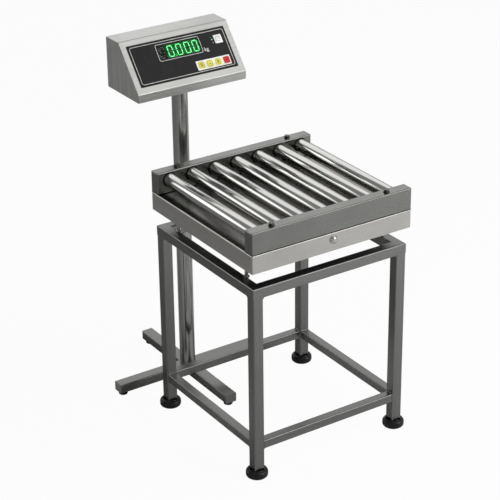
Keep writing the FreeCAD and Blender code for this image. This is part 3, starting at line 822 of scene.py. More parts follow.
@dataclass(frozen=True)
class DisplayFace(Finish):
    """The dark face behind the digits, with a painted glow: a soft green halo near the lit ones that the
    face emits itself.
    """

    lit_left: float
    lit_right: float
    glow: Colour = (0.0, 0.085, 0.01)
    fade: float = 12 * MM

    def wire(self, surface: Surface) -> None:
        """Wire the painted glow round the lit digits.

        Args:
            surface: the new material's tree.
        """
        across = surface.axis(surface.place, "X")
        left = surface.span(across, self.lit_left - self.fade, self.lit_left + self.fade)
        right = surface.span(across, self.lit_right, self.lit_right + self.fade, 1.0, 0.35)
        cells = surface.span(surface.noise(surface.place, 90.0), 0.2, 0.8, 0.8, 1.1)
        halo = surface.math("MULTIPLY", surface.math("MULTIPLY", left, right), cells)
        # painted glow: emission and a lighter base colour near the lit digits stand in for their light
        # spilling onto the face
        surface.look(Base_Color=surface.mix(halo, self.colour, self.shade(1.3)), Specular_IOR_Level=0.0,
                     Emission_Color=surface.mix(halo, (0.0, 0.0, 0.0), self.glow), Emission_Strength=1.0)


@dataclass(frozen=True)
class ClearPane(Finish):
    """Tinted clear plastic of the display window."""

    index: float = 1.10

    def wire(self, surface: Surface) -> None:
        """Wire the clear pane with faint wipe marks.

        Args:
            surface: the new material's tree.
        """
        marks = surface.effect(Effect.HANDLING, surface.place, Spread=40.0)
        surface.look(Base_Color=surface.mix(marks, self.colour, self.shade(0.97)), IOR=self.index,
                     Roughness=surface.more(self.roughness, marks, 0.02), Transmission_Weight=1.0)


# The finishes of this set

TUBE = (0.245, 0.248, 0.238)
TUBE_LEG = BrushedSteel("steel_tube_upright", TUBE, 0.30, Grain.ALONG_Z)
# painted light on the lengthways tubes' faces towards X, and painted shade on the tubes' tops
TUBE_X = BrushedSteel("steel_tube_lengthways", TUBE, 0.28, Grain.ALONG_X, Grain.ALONG_Z, painted_light_on_x_sides=2.6,
                      polished_top=0.32, painted_shade_on_top=0.72)
TUBE_Y = BrushedSteel("steel_tube_crossways", TUBE, 0.28, Grain.ALONG_Y, polished_top=0.32, painted_shade_on_top=0.72)
CHANNEL = BrushedSteel("steel_channel", (0.245, 0.250, 0.236), 0.28, Grain.ALONG_X, Grain.ALONG_Z)
# painted shade: the tray's upward faces are darkened
TRAY = BrushedSteel("steel_tray", (0.56, 0.545, 0.52), 0.32, Grain.ALONG_X, Grain.ALONG_Y, contrast=0.05,
                    polished_top=0.24, painted_shade_on_top=0.40)
# painted light: the housing's faces towards X are lightened
HOUSING = BrushedSteel("steel_housing", (0.51, 0.508, 0.492), 0.32, Grain.ALONG_X, Grain.ALONG_Z,
                       contrast=0.14, painted_light_on_x_sides=1.3)
CAST_ALUMINIUM = BrushedSteel("cell_aluminium", (0.60, 0.60, 0.61), 0.42, Grain.ALONG_X)
ROLLER = PolishedSteel("roller_chrome", (0.60, 0.597, 0.58), 0.09, Grain.ALONG_Y)
COLUMN = PolishedSteel("column_polished", (0.46, 0.46, 0.44), 0.13, Grain.ALONG_Z)
CAP_CHROME = PolishedSteel("cap_chrome", (0.62, 0.62, 0.61), 0.06, Grain.ALONG_Z)
BRIGHT_BAR = PolishedSteel("bright_bar", (0.46, 0.455, 0.44), 0.25, Grain.ALONG_Y)
BEARING = PolishedSteel("bearing_steel", (0.16, 0.16, 0.16), 0.32, Grain.ALONG_Y)
FASTENER = PolishedSteel("fastener_plain", (0.48, 0.475, 0.46), 0.20, Grain.ALONG_Z)
DARK_BOLT = PolishedSteel("fastener_dark", (0.11, 0.11, 0.105), 0.24, Grain.ALONG_Z)
WELD = PolishedSteel("weld_bead", (0.20, 0.20, 0.195), 0.30, Grain.ALONG_X)
BASE_PAINT = Moulding("base_paint", (0.045, 0.047, 0.047), 0.42, texture=0.15, pitch=500.0, coat=0.1)
FOOT_GLOSS = Moulding("foot_moulding", (0.004, 0.004, 0.004), 0.16, texture=0.01, specular=0.3)
RUBBER = Moulding("rubber", (0.012, 0.012, 0.012), 0.75, texture=0.3, pitch=1200.0, specular=0.2)
NYLON = Moulding("gland_nylon", (0.02, 0.02, 0.02), 0.5, texture=0.15, specular=0.3)
BOARD = Moulding("board_mask", (0.02, 0.12, 0.05), 0.35, texture=0.05, coat=0.4)
BATTERY = Moulding("battery_case", (0.12, 0.12, 0.13), 0.5)
OVERLAY = Moulding("panel_overlay", (0.020, 0.020, 0.0205), 0.5, texture=0.05, pitch=2500.0, specular=0.15)
STRIP_WHITE = Ink("keypad_strip", (0.78, 0.78, 0.73), 0.45, texture=0.04)
PRINT_WHITE = Ink("print_white", (0.55, 0.55, 0.53))
PRINT_GREY = Ink("print_grey", (0.30, 0.30, 0.29))
PRINT_OLIVE = Ink("print_olive", (0.10, 0.09, 0.025))
PRINT_DARK_RED = Ink("print_dark_red", (0.22, 0.015, 0.015))
MARK_DARK_GREEN = Ink("mark_dark_green", (0.01, 0.10, 0.05), 0.45)
MARK_MINT = Ink("mark_mint", (0.22, 0.62, 0.40), 0.45)
MARK_PALE = Ink("mark_pale", (0.36, 0.45, 0.40), 0.45)
KEY_YELLOW = KeyCap("key_yellow", (0.72, 0.68, 0.13))
KEY_RED = KeyCap("key_red", (0.60, 0.05, 0.05))
KEY_WHITE = KeyCap("key_white", (0.80, 0.80, 0.79))
PANE = ClearPane("window_pane", (0.90, 0.97, 0.92), 0.02)
LIT = Glow("digit_lit", (0.03, 0.36, 0.08), 0.5)
CORE = Glow("digit_core", (0.17, 0.72, 0.28), 0.5, unevenness=0.05)
UNLIT = Ink("digit_unlit", (0.055, 0.057, 0.054), specular=0.0)


# Sub-assemblies


@dataclass
class WeldedTable:
    """The table: square tube frame, weld beads and levelling feet."""

    tube: float = 30 * MM
    tube_corner: float = 3 * MM
    ground_proud: float = 0.03 * MM
    ground_height: float = 10 * MM
    corner_bead: float = 4.5 * MM
    corner_bead_inset: float = 2 * MM
    corner_bead_round_share: float = 0.92
    corner_bead_hollow_share: float = 0.3
    lower_tube: float = 25 * MM
    bead: float = 1.5 * MM
    bead_line_share: float = 1.2
    bead_round_share: float = 0.7
    pad_radius: float = 30 * MM
    pad_base_radius: float = 25.5 * MM
    pad_foot_round: float = 7 * MM
    pad_shoulder_round: float = 9 * MM
    pad_shoulder: float = 13.5 * MM
    pad_neck_radius: float = 21.5 * MM
    pad_neck_lip: float = 0.6 * MM
    pad_top: float = 24 * MM
    pad_seat: float = 20 * MM
    stud_radius: float = 6 * MM
    stud_sunk: float = 1 * MM
    stud_edge: float = 0.8 * MM
    stud_edge_height: float = 1 * MM
    stud_sides: int = 32

    def __post_init__(self) -> None:
        """Find the legs in the frame."""
        self.leg_centres = [middle("leg_" + corner) for corner in TABLE_CORNERS]
        self.leg_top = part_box("leg_" + TABLE_CORNERS[0])[1].z

    def build(self) -> None:
        """Dress the tubes, add the beads and model the feet."""
        dress({"leg_" + corner: TUBE_LEG for corner in TABLE_CORNERS})
        dress({"top_rails_long": TUBE_X, "top_rails_side": TUBE_Y})
        dress({"lower_rails_long": TUBE_X, "lower_rails_side": TUBE_Y})
        self.add_ground_corners()
        self.add_corner_beads()
        self.add_rail_beads()
        self.add_feet()

    def weld(self, model: Piece, name: str, places: Iterable[Matrix]) -> None:
        """Set a weld at each place, and drop its model.

        Args:
            model: one weld.
            name: the joined welds' name.
            places: where they go.
        """
        fit_out(repeat(model, name, places), "frame", TUBE_LEG, "stainless_tube")
        discard(model)

    def add_ground_corners(self) -> None:
        """The weld between each leg and the top frame, ground flush with their faces."""
        width = self.tube + 2 * self.ground_proud
        block = rounded_plate("ground_corner", width, width, self.ground_height, self.tube_corner)
        smooth(block)
        height = self.leg_top - self.ground_height / 2
        self.weld(block, "ground_corners", [move(centre.x, centre.y, height) for centre in self.leg_centres])

    def add_corner_beads(self) -> None:
        """A rounded bead in each inner corner between a leg and the top frame's rails."""
        width = self.tube - 2 * self.corner_bead_inset
        bead = add_plane("corner_bead", self.corner_bead, self.corner_bead)
        choose(bead, "VERT", lambda vert: vert.co.x > 0 and vert.co.y < 0)
        bpy.ops.mesh.bevel(offset=self.corner_bead * self.corner_bead_round_share, segments=5,
                           affect="VERTICES", profile=self.corner_bead_hollow_share)
        choose(bead, "FACE")
        extrude(0, 0, width)
        end_edit()
        smooth(bead, WELD_SHARP)
        half = self.corner_bead / 2
        apply_place(bead, turn(QUARTER, "X") @ move(half, -half, -width / 2))
        places = []
        for centre in self.leg_centres:
            to_middle = (middle("tray") - centre).xy
            for angle in (0, QUARTER, 2 * QUARTER, 3 * QUARTER):
                inward = Vector((math.cos(angle), math.sin(angle)))
                if inward.dot(to_middle) > 0:
                    spot = centre.xy + inward * self.tube / 2
                    places.append(move(*spot, self.leg_top) @ turn(angle, "Z"))
        self.weld(bead, "corner_beads", places)

    def add_rail_beads(self) -> None:
        """A weld bead around each end of the lower rails, against the legs."""
        size = self.lower_tube + 2 * self.bead
        ring = rounded_ring("rail_bead", size, size, self.bead * 2, self.bead * self.bead_line_share,
                            self.bead)
        outside = (size - self.bead) / 2
        start_edit(ring)
        choose(ring, "EDGE", lambda line: all(vert.co.z > self.bead / 2 for vert in line.verts)
               and line.calc_face_angle(0) > 1 and max(map(abs, line.verts[0].co.xy)) > outside)
        bpy.ops.mesh.bevel(offset=self.bead * self.bead_round_share, segments=3, affect="EDGES")
        end_edit()
        smooth(ring, WELD_SHARP)
        places = []
        for node, along, axis, spin in (("lower_rails_long", 0, "Y", 1), ("lower_rails_side", 1, "X", -1)):
            low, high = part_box(node)
            across = 1 - along
            for end, sign in ((low, spin), (high, -spin)):
                for side in (low, high):
                    spot = middle(node)
                    inward = math.copysign(self.lower_tube / 2, spot[across] - side[across])
                    spot[along], spot[across] = end[along], side[across] + inward
                    places.append(Matrix.Translation(spot) @ turn(sign * QUARTER, axis))
        self.weld(ring, "rail_beads", places)

    def add_feet(self) -> None:
        """Glossy moulded pads on steel studs, one for each leg."""
        neck, lip = self.pad_neck_radius, self.pad_neck_lip
        foot, shoulder = self.pad_foot_round, self.pad_shoulder_round
        pad = turned("foot_pad", [
            (self.pad_base_radius, 0.0), *arc(self.pad_radius - foot, foot, foot, -50, 0, 5),
            *arc(self.pad_radius - shoulder, self.pad_shoulder, shoulder, 0, 78, 10),
            (neck + 2 * lip, self.pad_top - lip), (neck + lip, self.pad_top),
            (neck, self.pad_top - 2 / 3 * lip), (neck - lip / 3, self.pad_seat)])
        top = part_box("levelling_foot_" + TABLE_CORNERS[0])[1].z
        stud = turned("foot_stud", [
            (self.stud_radius, self.pad_seat - self.stud_sunk),
            (self.stud_radius, top - self.stud_edge_height),
            (self.stud_radius - self.stud_edge, top)], self.stud_sides)
        smooth(pad)
        smooth(stud)
        for corner in TABLE_CORNERS:
            node, body = "levelling_foot_" + corner, "foot_" + corner
            place = move(*middle(node).xy)
            fit_out(copy_of(pad, "foot_pad_" + corner, place), body, FOOT_GLOSS, "foot_black", node)
            fit_out(copy_of(stud, "foot_stud_" + corner, place), body, FASTENER, "fastener")
        discard(pad, stud)


class ScaleBase:
    """What stands under the tray: painted base, load cell and spider."""

    def build(self) -> None:
        """Dress the base's nodes."""
        dress({"base_frame": BASE_PAINT, "base_feet": FASTENER, "overload_stops": FASTENER,
               "load_cell": CAST_ALUMINIUM, "cell_base_bolts": FASTENER, "cell_top_bolts": FASTENER,
               "platform_spider": BASE_PAINT, "support_pads": RUBBER})


@dataclass
class WeighingPlatform:
    """The tray, the two side channels, their bolts and the cap on the front skirt."""

    # a dark strip of painted shadow round the foot of each channel
    shadow_strip_height: float = 2.4 * MM
    shadow_strip_width: float = 1 * MM
    shadow_strip_corner: float = 2.5 * MM
    shadow_strip_proud: float = 0.15 * MM
    cap_radius: float = 11.4 * MM
    cap_height: float = 6.6 * MM
    washer_thickness: float = 1.5 * MM

    def build(self) -> None:
        """Dress the platform's nodes, and add the painted shadow strips and the cap."""
        dress({"tray": TRAY, "channel_front": CHANNEL, "channel_back": CHANNEL, "channel_bolts": DARK_BOLT,
               "front_cap_screw": FASTENER})
        self.add_painted_shadow_strips()
        self.add_cap()

    def add_painted_shadow_strips(self) -> None:
        """A dark strip of painted shadow round the foot of each channel, where the gap between the channel
        and the tray is in shade.
        """
        for end in ("front", "back"):
            low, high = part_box("channel_" + end)
            width, depth = (high.xy - low.xy) + Vector((2, 2)) * self.shadow_strip_proud
            shadow_strip = rounded_ring("channel_shadow_strip_" + end, width, depth, self.shadow_strip_corner, self.shadow_strip_width,
                                self.shadow_strip_height)
            apply_place(shadow_strip, move((low.x + high.x) / 2, (low.y + high.y) / 2, low.z))
            # painted shadow: a black strip where the channel meets the tray
            fit_out(shadow_strip, "platform", RUBBER, "rubber_black")

    def add_cap(self) -> None:
        """A domed chrome cap over the screw's head in the middle of the front skirt."""
        screw = middle("front_cap_screw")
        ball = (self.cap_radius ** 2 + self.cap_height ** 2) / (2 * self.cap_height)
        start = math.degrees(math.asin((ball - self.cap_height) / ball))
        cap = turned("front_cap", arc(0, self.cap_height - ball, ball, start, 87, 9))
        smooth(cap)
        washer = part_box("tray")[0].y - self.washer_thickness
        apply_place(cap, move(screw.x, washer, screw.z) @ turn(QUARTER, "X"))
        fit_out(cap, "platform", CAP_CHROME, "fastener")


@dataclass
class RollerBed:
    """Seven polished rollers on fixed axles, and dark rings of painted shadow on the walls at their ends."""

    wall: float = 1.5 * MM
    rim: float = 0.5 * MM
    sides: int = 96
    # painted shadow rings on the walls round the rollers' ends
    ring_past: float = 1.7 * MM
    ring_width: float = 4 * MM
    ring_height: float = 0.6 * MM
    ring_round_share: float = 0.98

    def build(self) -> None:
        """Model one roller tube, copy it to the other places and add the rings."""
        low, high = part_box("roller_1_tube")
        radius = (high.z - low.z) / 2
        tube = open_tube("roller", radius, high.y - low.y, self.wall, self.sides, self.rim)
        apply_place(tube, turn(QUARTER, "X"))
        smooth(tube)
        for number in ROLLERS:
            node = "roller_%d_tube" % number
            roller = copy_of(tube, "roller_%d_polished" % number, Matrix.Translation(middle(node)))
            fit_out(roller, "roller_%d" % number, ROLLER, "polished_steel", node)
        discard(tube)
        dress({"roller_%d_bearings" % number: BEARING for number in ROLLERS})
        dress({"roller_axles": BRIGHT_BAR, "axle_clips": FASTENER})
        self.add_painted_shadow_rings(radius + self.ring_past)

    def add_painted_shadow_rings(self, radius: float) -> None:
        """Thin dark rings of painted shadow on the channels' walls, one round each end of each roller.

        Args:
            radius: the rings' outer radius.
        """
        ring = rounded_ring("painted_shadow_ring", 2 * radius, 2 * radius, self.ring_round_share * radius,
                            self.ring_width, self.ring_height)
        apply_place(ring, turn(QUARTER, "X"))
        centres = [middle("roller_%d_tube" % number) for number in ROLLERS]
        for end, wall in (("front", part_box("channel_front")[1].y + self.ring_height),
                          ("back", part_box("channel_back")[0].y)):
            rings = repeat(ring, "painted_shadow_rings_" + end, [move(centre.x, wall, centre.z) for centre in centres])
            # painted shadow: black rings darken the wall round each roller's end, where the gap is in shade
            fit_out(rings, "platform", RUBBER, "rubber_black")
        discard(ring)


@dataclass
class ColumnStand:
    """The cross base and the polished column."""

    wall: float = 2 * MM
    bead: float = 2.2 * MM
    bead_foot: float = 0.2 * MM
    bead_sunk: float = 1 * MM
    sides: int = 128

    def build(self) -> None:
        """Dress the arms, and model the column and the weld at its foot."""
        dress({"stand_beam": TUBE_Y, "stand_side_arms": TUBE_X, "stand_feet": RUBBER})
        low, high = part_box("column")
        radius = (high.x - low.x) / 2
        post = open_tube("column_polished", radius, high.z - low.z, self.wall, self.sides)
        apply_place(post, Matrix.Translation(middle("column")))
        bead = turned("column_bead", [
            (radius + self.bead, -self.bead_sunk), (radius + self.bead, self.bead_foot),
            *arc(radius, self.bead_foot, self.bead, 15, 75, 4), (radius - self.bead_sunk, self.bead)])
        apply_place(bead, move(*middle("column").xy, low.z))
        smooth(post)
        smooth(bead)
        fit_out(post, "frame", COLUMN, "polished_steel", "column")
        fit_out(bead, "frame", WELD, "stainless_tube")


@dataclass(frozen=True)
class Outline:
    """A printed line round the panel, the window or a key; across and up are its middle on the panel."""

    name: str
    across: float
    up: float
    width: float
    height: float
    corner: float
    line: float
    ink: Finish


@dataclass(frozen=True)
class Mark:
    """A small coloured mark beside the power key; across and up are its middle on the panel."""

    name: str
    across: float
    up: float
    width: float
    height: float
    ink: Finish


@dataclass(frozen=True)
class Key:
    """A key of the lower row."""

    node: str
    cap: Finish
    ink: Finish
    sign: str


@dataclass
class Indicator:
    """The weight indicator: housing, printed panel, display and keys."""

    lip: float = 23 * MM
    top_depth: float = 66 * MM
    membrane_thickness: float = 0.8 * MM
    sheet: float = 1.5 * MM
    print_height: float = 0.06 * MM
    lines: tuple[Outline, ...] = (
        Outline("panel_line", 0.0, 78.5 * MM, 294 * MM, 109 * MM, 7 * MM, 1.7 * MM, PRINT_WHITE),
        Outline("window_border", -2.5 * MM, 101.5 * MM, 133.6 * MM, 45.6 * MM, 4.3 * MM, 4.2 * MM, OVERLAY),
        Outline("window_line", -2.5 * MM, 101.5 * MM, 137 * MM, 49 * MM, 5.5 * MM, 1.5 * MM, PRINT_WHITE))
    marks: tuple[Mark, ...] = (
        Mark("mark_upper", 102.2 * MM, 113.5 * MM, 5.6 * MM, 3.4 * MM, MARK_DARK_GREEN),
        Mark("mark_middle", 103.8 * MM, 107.2 * MM, 4.6 * MM, 3.2 * MM, MARK_MINT),
        Mark("mark_lower", 104.9 * MM, 97.6 * MM, 3.2 * MM, 2.6 * MM, MARK_PALE))
    mark_corner: float = 1.2 * MM
    letter_weight_share: float = 0.02
    unit_size: float = 15 * MM
    unit_across: float = 77 * MM
    unit_up: float = 83.5 * MM
    key_proud: float = 0.3 * MM
    keys: tuple[Key, ...] = (
        Key("key_zero", KEY_YELLOW, PRINT_OLIVE, "0"), Key("key_tare", KEY_YELLOW, PRINT_OLIVE, "-"),
        Key("key_unit", KEY_YELLOW, PRINT_OLIVE, "8"), Key("key_memory", KEY_RED, PRINT_DARK_RED, "+"))
    key_row: float = 42.5 * MM
    key_first: float = 44.6 * MM
    key_step: float = 26.6 * MM
    key_opening: float = 19.5 * MM
    key_opening_corner: float = 3.25 * MM
    key_opening_depth: float = 2 * MM
    key_line_size: float = 14.8 * MM
    key_line_corner: float = 3 * MM
    key_line: float = 0.8 * MM
    sign_size: float = 13 * MM
    power_line: Outline = Outline("key_power_outline", 122.4 * MM, 105.7 * MM, 12 * MM, 13 * MM, 2 * MM,
                                  1.1 * MM, PRINT_GREY)
    strip_across: float = 83.5 * MM
    strip_width: float = 107 * MM
    strip_height: float = 27 * MM
    strip_corner: float = 2 * MM
    digit_row: float = 101 * MM
    digits: tuple[float, ...] = (-54.5 * MM, -28.5 * MM, -1.5 * MM, 24.3 * MM, 49.8 * MM)
    digit_half_width: float = 7.1 * MM
    digit_half_height: float = 15.2 * MM
    stroke_width: float = 3.4 * MM
    stroke_length: float = 11 * MM
    stroke_point: float = 1.6 * MM
    stroke_taper_share: float = 0.35
    stroke_height: float = 0.3 * MM
    core_shares: tuple[float, ...] = (0.5, 0.86, 0.2, 1.0)
    point_size: float = 4.4 * MM
    point_corner: float = 1.4 * MM
    point_across: float = -15.0 * MM
    point_up: float = -15.4 * MM
    digit_sink: float = 0.1 * MM
    halo_left: float = -40 * MM
    halo_right: float = 60 * MM

    def __post_init__(self) -> None:
        """Work out the sloping panel's place from the housing's box."""
        low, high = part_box("housing")
        self.pitch = math.atan2(high.z - low.z - self.lip, high.y - low.y - self.top_depth)
        self.origin = Vector(((low.x + high.x) / 2, low.y, low.z + self.lip))

    def place(self, across: float, up: float, out: float) -> Matrix:
        """Where a piece modelled on z = 0 goes on the sloping panel.

        Args:
            across: distance to the right of the panel's middle.
            up: distance up the slope from the lip.
            out: distance out from the panel's face.

        Returns:
            The place in the row frame.
        """
        return Matrix.Translation(self.origin) @ turn(self.pitch, "X") @ move(across, up, out)

    def set_print(self, piece: Piece, across: float, up: float, ink: Finish, key: str = "") -> None:
        """Set a printed mark on the overlay or on a key.

        Args:
            piece: the mark, modelled on z = 0.
            across: its middle to the right of the panel's middle.
            up: its middle up the slope.
            ink: its finish.
            key: the key that it is on, if it is on one.
        """
        out = self.membrane_thickness + (self.key_proud if key else 0)
        apply_place(piece, self.place(across, up, out))
        fit_out(piece, key or "indicator", ink, "membrane_black")

    def set_outline(self, outline: Outline, key: str = "") -> None:
        """Print an outline on the overlay or on a key.

        Args:
            outline: the outline.
            key: the key that it is on, if it is on one.
        """
        ring = rounded_ring(outline.name, outline.width, outline.height, outline.corner, outline.line,
                            self.print_height)
        self.set_print(ring, outline.across, outline.up, outline.ink, key)

    def build(self) -> None:
        """Dress the housing and build the panel's marks, display and keys."""
        dress({"housing": HOUSING, "bottom_cover": HOUSING, "cover_screws": FASTENER,
               "swivel_spigot": BRIGHT_BAR, "membrane": OVERLAY, "display_window": PANE, "main_board": BOARD,
               "battery": BATTERY, "cable_glands": NYLON})
        self.add_prints()
        self.add_display()
        self.add_keys()

    def add_prints(self) -> None:
        """The lines round the panel and the window, the keypad's strip, the marks and the unit."""
        for outline in self.lines:
            self.set_outline(outline)
        self.set_print(self.model_strip(), self.strip_across, self.key_row, STRIP_WHITE)
        for mark in self.marks:
            plate = rounded_plate(mark.name, mark.width, mark.height, self.print_height, self.mark_corner)
            self.set_print(plate, mark.across, mark.up, mark.ink)
        unit = self.model_letters("unit_letters", "kg", self.unit_size)
        self.set_print(unit, self.unit_across, self.unit_up, PRINT_WHITE)

    def model_strip(self) -> Piece:
        """The keypad's strip, cut out where the four keys sink through it.

        Returns:
            The strip, centred on its own middle and standing on z = 0.
        """
        strip = rounded_plate("keypad_strip", self.strip_width, self.strip_height, self.print_height,
                              self.strip_corner)
        size, depth = self.key_opening, self.key_opening_depth
        opening = rounded_plate("opening", size, size, depth, self.key_opening_corner)
        first = self.key_first - self.strip_across
        cutter = repeat(opening, "openings", [move(first + number * self.key_step, 0, -depth / 2)
                                              for number in range(len(self.keys))])
        activate(strip)
        bpy.ops.object.modifier_add(type="BOOLEAN")
        cut = strip.modifiers[-1]
        cut.operation, cut.solver, cut.object = "DIFFERENCE", "EXACT", cutter
        bpy.ops.object.modifier_apply(modifier=cut.name)
        discard(opening, cutter)
        return strip

    def model_letters(self, name: str, letters: str, size: float) -> Piece:
        """Flat letters, centred on their own middle and standing on z = 0.

        Args:
            name: the object's name.
            letters: what they say.
            size: the size of the type.

        Returns:
            The letters as a mesh.
        """
        deselect()
        bpy.ops.object.text_add(location=(0, 0, 0))
        text = take_new(name)
        text.data.body = letters
        text.data.size = size
        text.data.align_x, text.data.align_y = "CENTER", "CENTER"
        text.data.extrude = self.print_height / 2
        text.data.offset = self.letter_weight_share * size
        text.data.resolution_u = 4
        activate(text)
        bpy.ops.object.convert(target="MESH")
        text = take_new(name)
        text.data.transform(move(0, 0, self.print_height / 2))
        return text

    def add_display(self) -> None:
        """Lit and unlit digit strokes on the display's face."""
        halo = self.origin.x + self.halo_left, self.origin.x + self.halo_right
        # the display face carries a painted green glow beside the lit digits
        dress({"display_module": DisplayFace("display_face", (0.020, 0.022, 0.021), 0.35, *halo)})
        lit, unlit = [], []
        for number, across in enumerate(self.digits):
            for name, place in self.stroke_places().items():
                shown = number > 0 and name != "middle"
                (lit if shown else unlit).append(move(across, 0) @ place)
        stroke = self.model_stroke()
        core = move(0, 0, self.stroke_height) @ Matrix.Diagonal(self.core_shares)
        size = self.point_size
        point = rounded_plate("point", size, size, self.stroke_height, self.point_corner)
        point.data.transform(move(self.point_across, self.point_up))
        for digits, finish in ((repeat(stroke, "digits_unlit", unlit), UNLIT),
                               (join([repeat(stroke, "strokes", lit), point], "digits_lit"), LIT),
                               (repeat(stroke, "digits_core", [place @ core for place in lit]), CORE)):
            apply_place(digits, self.place(0, self.digit_row, -self.sheet - self.digit_sink))
            fit_out(digits, "indicator", finish, "display_dark")
        discard(stroke)

    def model_stroke(self) -> Piece:
        """One upright stroke of a digit, narrowed at both ends.

        Returns:
            The stroke, on z = 0.
        """
        stroke = add_plane("stroke", self.stroke_width, self.stroke_length)
        near = self.stroke_length / 3
        for sign in (-1, 1):
            choose(stroke, "EDGE", lambda line: all(sign * vert.co.y > near for vert in line.verts))
            extrude(0, sign * self.stroke_point, 0)
            bpy.ops.transform.resize(value=(self.stroke_taper_share, 1, 1), center_override=(0, 0, 0))
        choose(stroke, "FACE")
        extrude(0, 0, self.stroke_height)
        end_edit()
        return stroke

    def stroke_places(self) -> dict[str, Matrix]:
        """Where the seven strokes of a digit go round its middle.

        Returns:
            A place for each stroke by name.
        """
        flat = turn(QUARTER, "Z")
        places = {"middle": flat, "top": move(0, self.digit_half_height) @ flat,
                  "bottom": move(0, -self.digit_half_height) @ flat}
        for side, sign_x in (("left", -1), ("right", 1)):
            for level, sign_y in (("upper", 1), ("lower", -1)):
                places[level + "_" + side] = move(sign_x * self.digit_half_width,
                                                  sign_y * self.digit_half_height / 2)
        return places

    def add_keys(self) -> None:
        """Dress the keys, and print an outline and a plain sign on each."""
        for number, key in enumerate(self.keys):
            across = self.key_first + number * self.key_step
            dress({key.node: key.cap})
            outline = Outline(key.node + "_outline", across, self.key_row, self.key_line_size,
                              self.key_line_size, self.key_line_corner, self.key_line, key.ink)
            self.set_outline(outline, key.node)
            sign = self.model_letters(key.node + "_sign", key.sign, self.sign_size)
            self.set_print(sign, across, self.key_row, key.ink, key.node)
        dress({"key_power": KEY_WHITE})
        self.set_outline(self.power_line, "key_power")


# Floor, light and camera


@dataclass(frozen=True)
class Screen:
    """A pale screen that only metal shows: a soft round patch of the sky, from its edge to its core."""

    aim: tuple[float, float, float]
    strength: float
    edge: float
    core: float


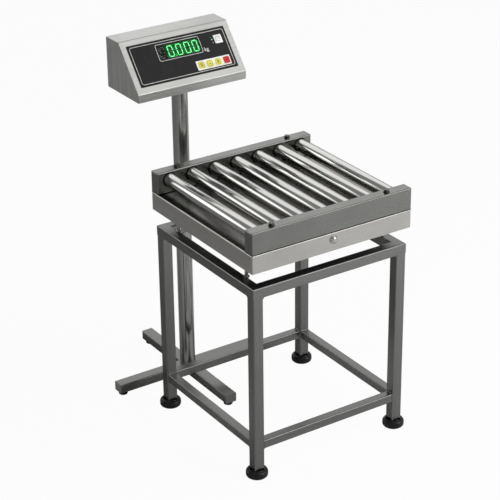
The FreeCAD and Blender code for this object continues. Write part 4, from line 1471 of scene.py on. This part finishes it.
@dataclass
class Studio:
    """A pale floor, soft light and the camera."""

    camera_place: tuple[float, float, float] = (-2.344196, -3.669541, 2.555501)
    yaw: float = math.radians(33.088)
    pitch: float = math.radians(25.740)
    roll: float = math.radians(-0.711)
    focal_pixels: float = 1744.229
    picture_pixels: float = 500.0
    sensor: float = 36.0
    far: float = 100.0
    floor_size: float = 60.0
    floor_grey: Colour = (0.55, 0.55, 0.55)
    floor_roughness: float = 0.8
    floor_seen: float = 0.965
    floor_gloss: float = 0.04
    room_light: float = 0.14
    ceiling: float = 0.27
    skyline: tuple[float, float] = (0.07, 0.17)
    screens: tuple[Screen, ...] = (
        Screen((0.28, 0.77, 0.57), 1.2, 0.848, 0.94), Screen((0.49, -0.62, 0.60), 1.35, 0.80, 0.97),
        Screen((0.49, -0.80, 0.33), 3.8, 0.955, 0.990), Screen((-0.60, 0.75, 0.20), 1.9, 0.9455, 0.982))
    lamp_place: tuple[float, float, float] = (2.0, -2.6, 2.45)
    lamp_aim: tuple[float, float, float] = (0.0, -0.1, 0.6)
    lamp_size: float = 2.2
    lamp_power: float = 172.0

    def build(self) -> None:
        """Make the floor, the world, the lamp and the camera, and show colours as they are written."""
        bpy.context.scene.view_settings.view_transform = "Standard"
        self.add_floor()
        self.add_world()
        self.add_lamp()
        self.add_camera()

    def seen_directly(self, wiring: Wiring, camera: float, gloss: float) -> Socket:
        """How much of the plain white a ray sees.

        Args:
            wiring: the tree's wiring.
            camera: the share for camera and transmission rays.
            gloss: the share for glossy rays.

        Returns:
            The share's socket.
        """
        rays = wiring.node("ShaderNodeLightPath").outputs
        straight = wiring.math("MAXIMUM", rays["Is Camera Ray"], rays["Is Transmission Ray"])
        return wiring.math("MAXIMUM", wiring.math("MULTIPLY", straight, camera),
                           wiring.math("MULTIPLY", rays["Is Glossy Ray"], gloss))

    def add_floor(self) -> None:
        """A wide pale floor that keeps the shadow under the set."""
        deselect()
        bpy.ops.mesh.primitive_plane_add(size=self.floor_size, location=(0, 0, 0))
        floor = take_new("studio_floor")
        material = bpy.data.materials.new("floor_pale")
        material.use_nodes = True
        wiring = Wiring(material.node_tree)
        pale = wiring.tree.nodes["Principled BSDF"]
        wiring.fill(pale, {"Roughness": self.floor_roughness, "Base Color": self.floor_grey})
        white = wiring.node("ShaderNodeEmission", {"Color": (1.0, 1.0, 1.0)})
        seen = self.seen_directly(wiring, self.floor_seen, self.floor_gloss)
        wiring.fill(wiring.tree.nodes["Material Output"], {"Surface": wiring.mix_shaders(seen, pale, white)})
        floor.data.materials.append(material)

    def add_world(self) -> None:
        """White where it is seen, and for metal a dim room with a white skyline and pale screens."""
        world = bpy.data.worlds.new("studio")
        bpy.context.scene.world = world
        world.use_nodes = True
        world.node_tree.nodes.clear()
        wiring = Wiring(world.node_tree)
        direction = wiring.coordinates("Generated")
        room = wiring.span(wiring.axis(direction, "Z"), *self.skyline, 1.0, self.ceiling)
        for screen in self.screens:
            inputs = {0: direction, 1: Vector(screen.aim).normalized()}
            nearness = wiring.node("ShaderNodeVectorMath", inputs, operation="DOT_PRODUCT").outputs["Value"]
            patch = wiring.span(nearness, screen.edge, screen.core, 0.0, screen.strength)
            room = wiring.math("MAXIMUM", room, patch)
        glossy = wiring.node("ShaderNodeLightPath").outputs["Is Glossy Ray"]
        strength = wiring.blend(glossy, 1.0, room)
        soft = wiring.node("ShaderNodeBackground", {"Color": (1.0, 1.0, 1.0), "Strength": self.room_light})
        white = wiring.node("ShaderNodeBackground", {"Color": (1.0, 1.0, 1.0), "Strength": strength})
        mixed = wiring.mix_shaders(self.seen_directly(wiring, 1.0, 1.0), soft, white)
        wiring.node("ShaderNodeOutputWorld", {"Surface": mixed})

    def add_lamp(self) -> None:
        """A soft square lamp at the front right; metal shows the pale screens in its place."""
        data = bpy.data.lights.new("key_lamp", "AREA")
        data.shape = "RECTANGLE"
        data.size = data.size_y = self.lamp_size
        data.energy = self.lamp_power
        lamp = bpy.data.objects.new("key_lamp", data)
        bpy.context.scene.collection.objects.link(lamp)
        lamp.location = self.lamp_place
        lamp.rotation_mode = "QUATERNION"
        lamp.rotation_quaternion = (Vector(self.lamp_aim) - Vector(self.lamp_place)).to_track_quat("-Z", "Y")
        lamp.visible_glossy = False

    def add_camera(self) -> None:
        """The camera, turned and placed as the photograph was taken."""
        data = bpy.data.cameras.new("view_camera")
        data.sensor_width = self.sensor
        data.lens = self.focal_pixels / self.picture_pixels * self.sensor
        data.clip_end = self.far
        camera = bpy.data.objects.new("view_camera", data)
        bpy.context.scene.collection.objects.link(camera)
        camera.matrix_world = (move(*self.camera_place) @ turn(-self.yaw, "Z")
                               @ turn(QUARTER - self.pitch, "X") @ turn(self.roll, "Z"))
        bpy.context.scene.camera = camera


def main() -> None:
    """Build every sub-assembly in order, and report each one."""
    logging.basicConfig(level=logging.INFO, format="%(name)s: %(message)s")
    for kind in (WeldedTable, ScaleBase, WeighingPlatform, RollerBed, ColumnStand, Indicator, Studio):
        kind().build()
        LOG.info("built %s", kind.__name__)


if __name__ == "__main__":
    main()
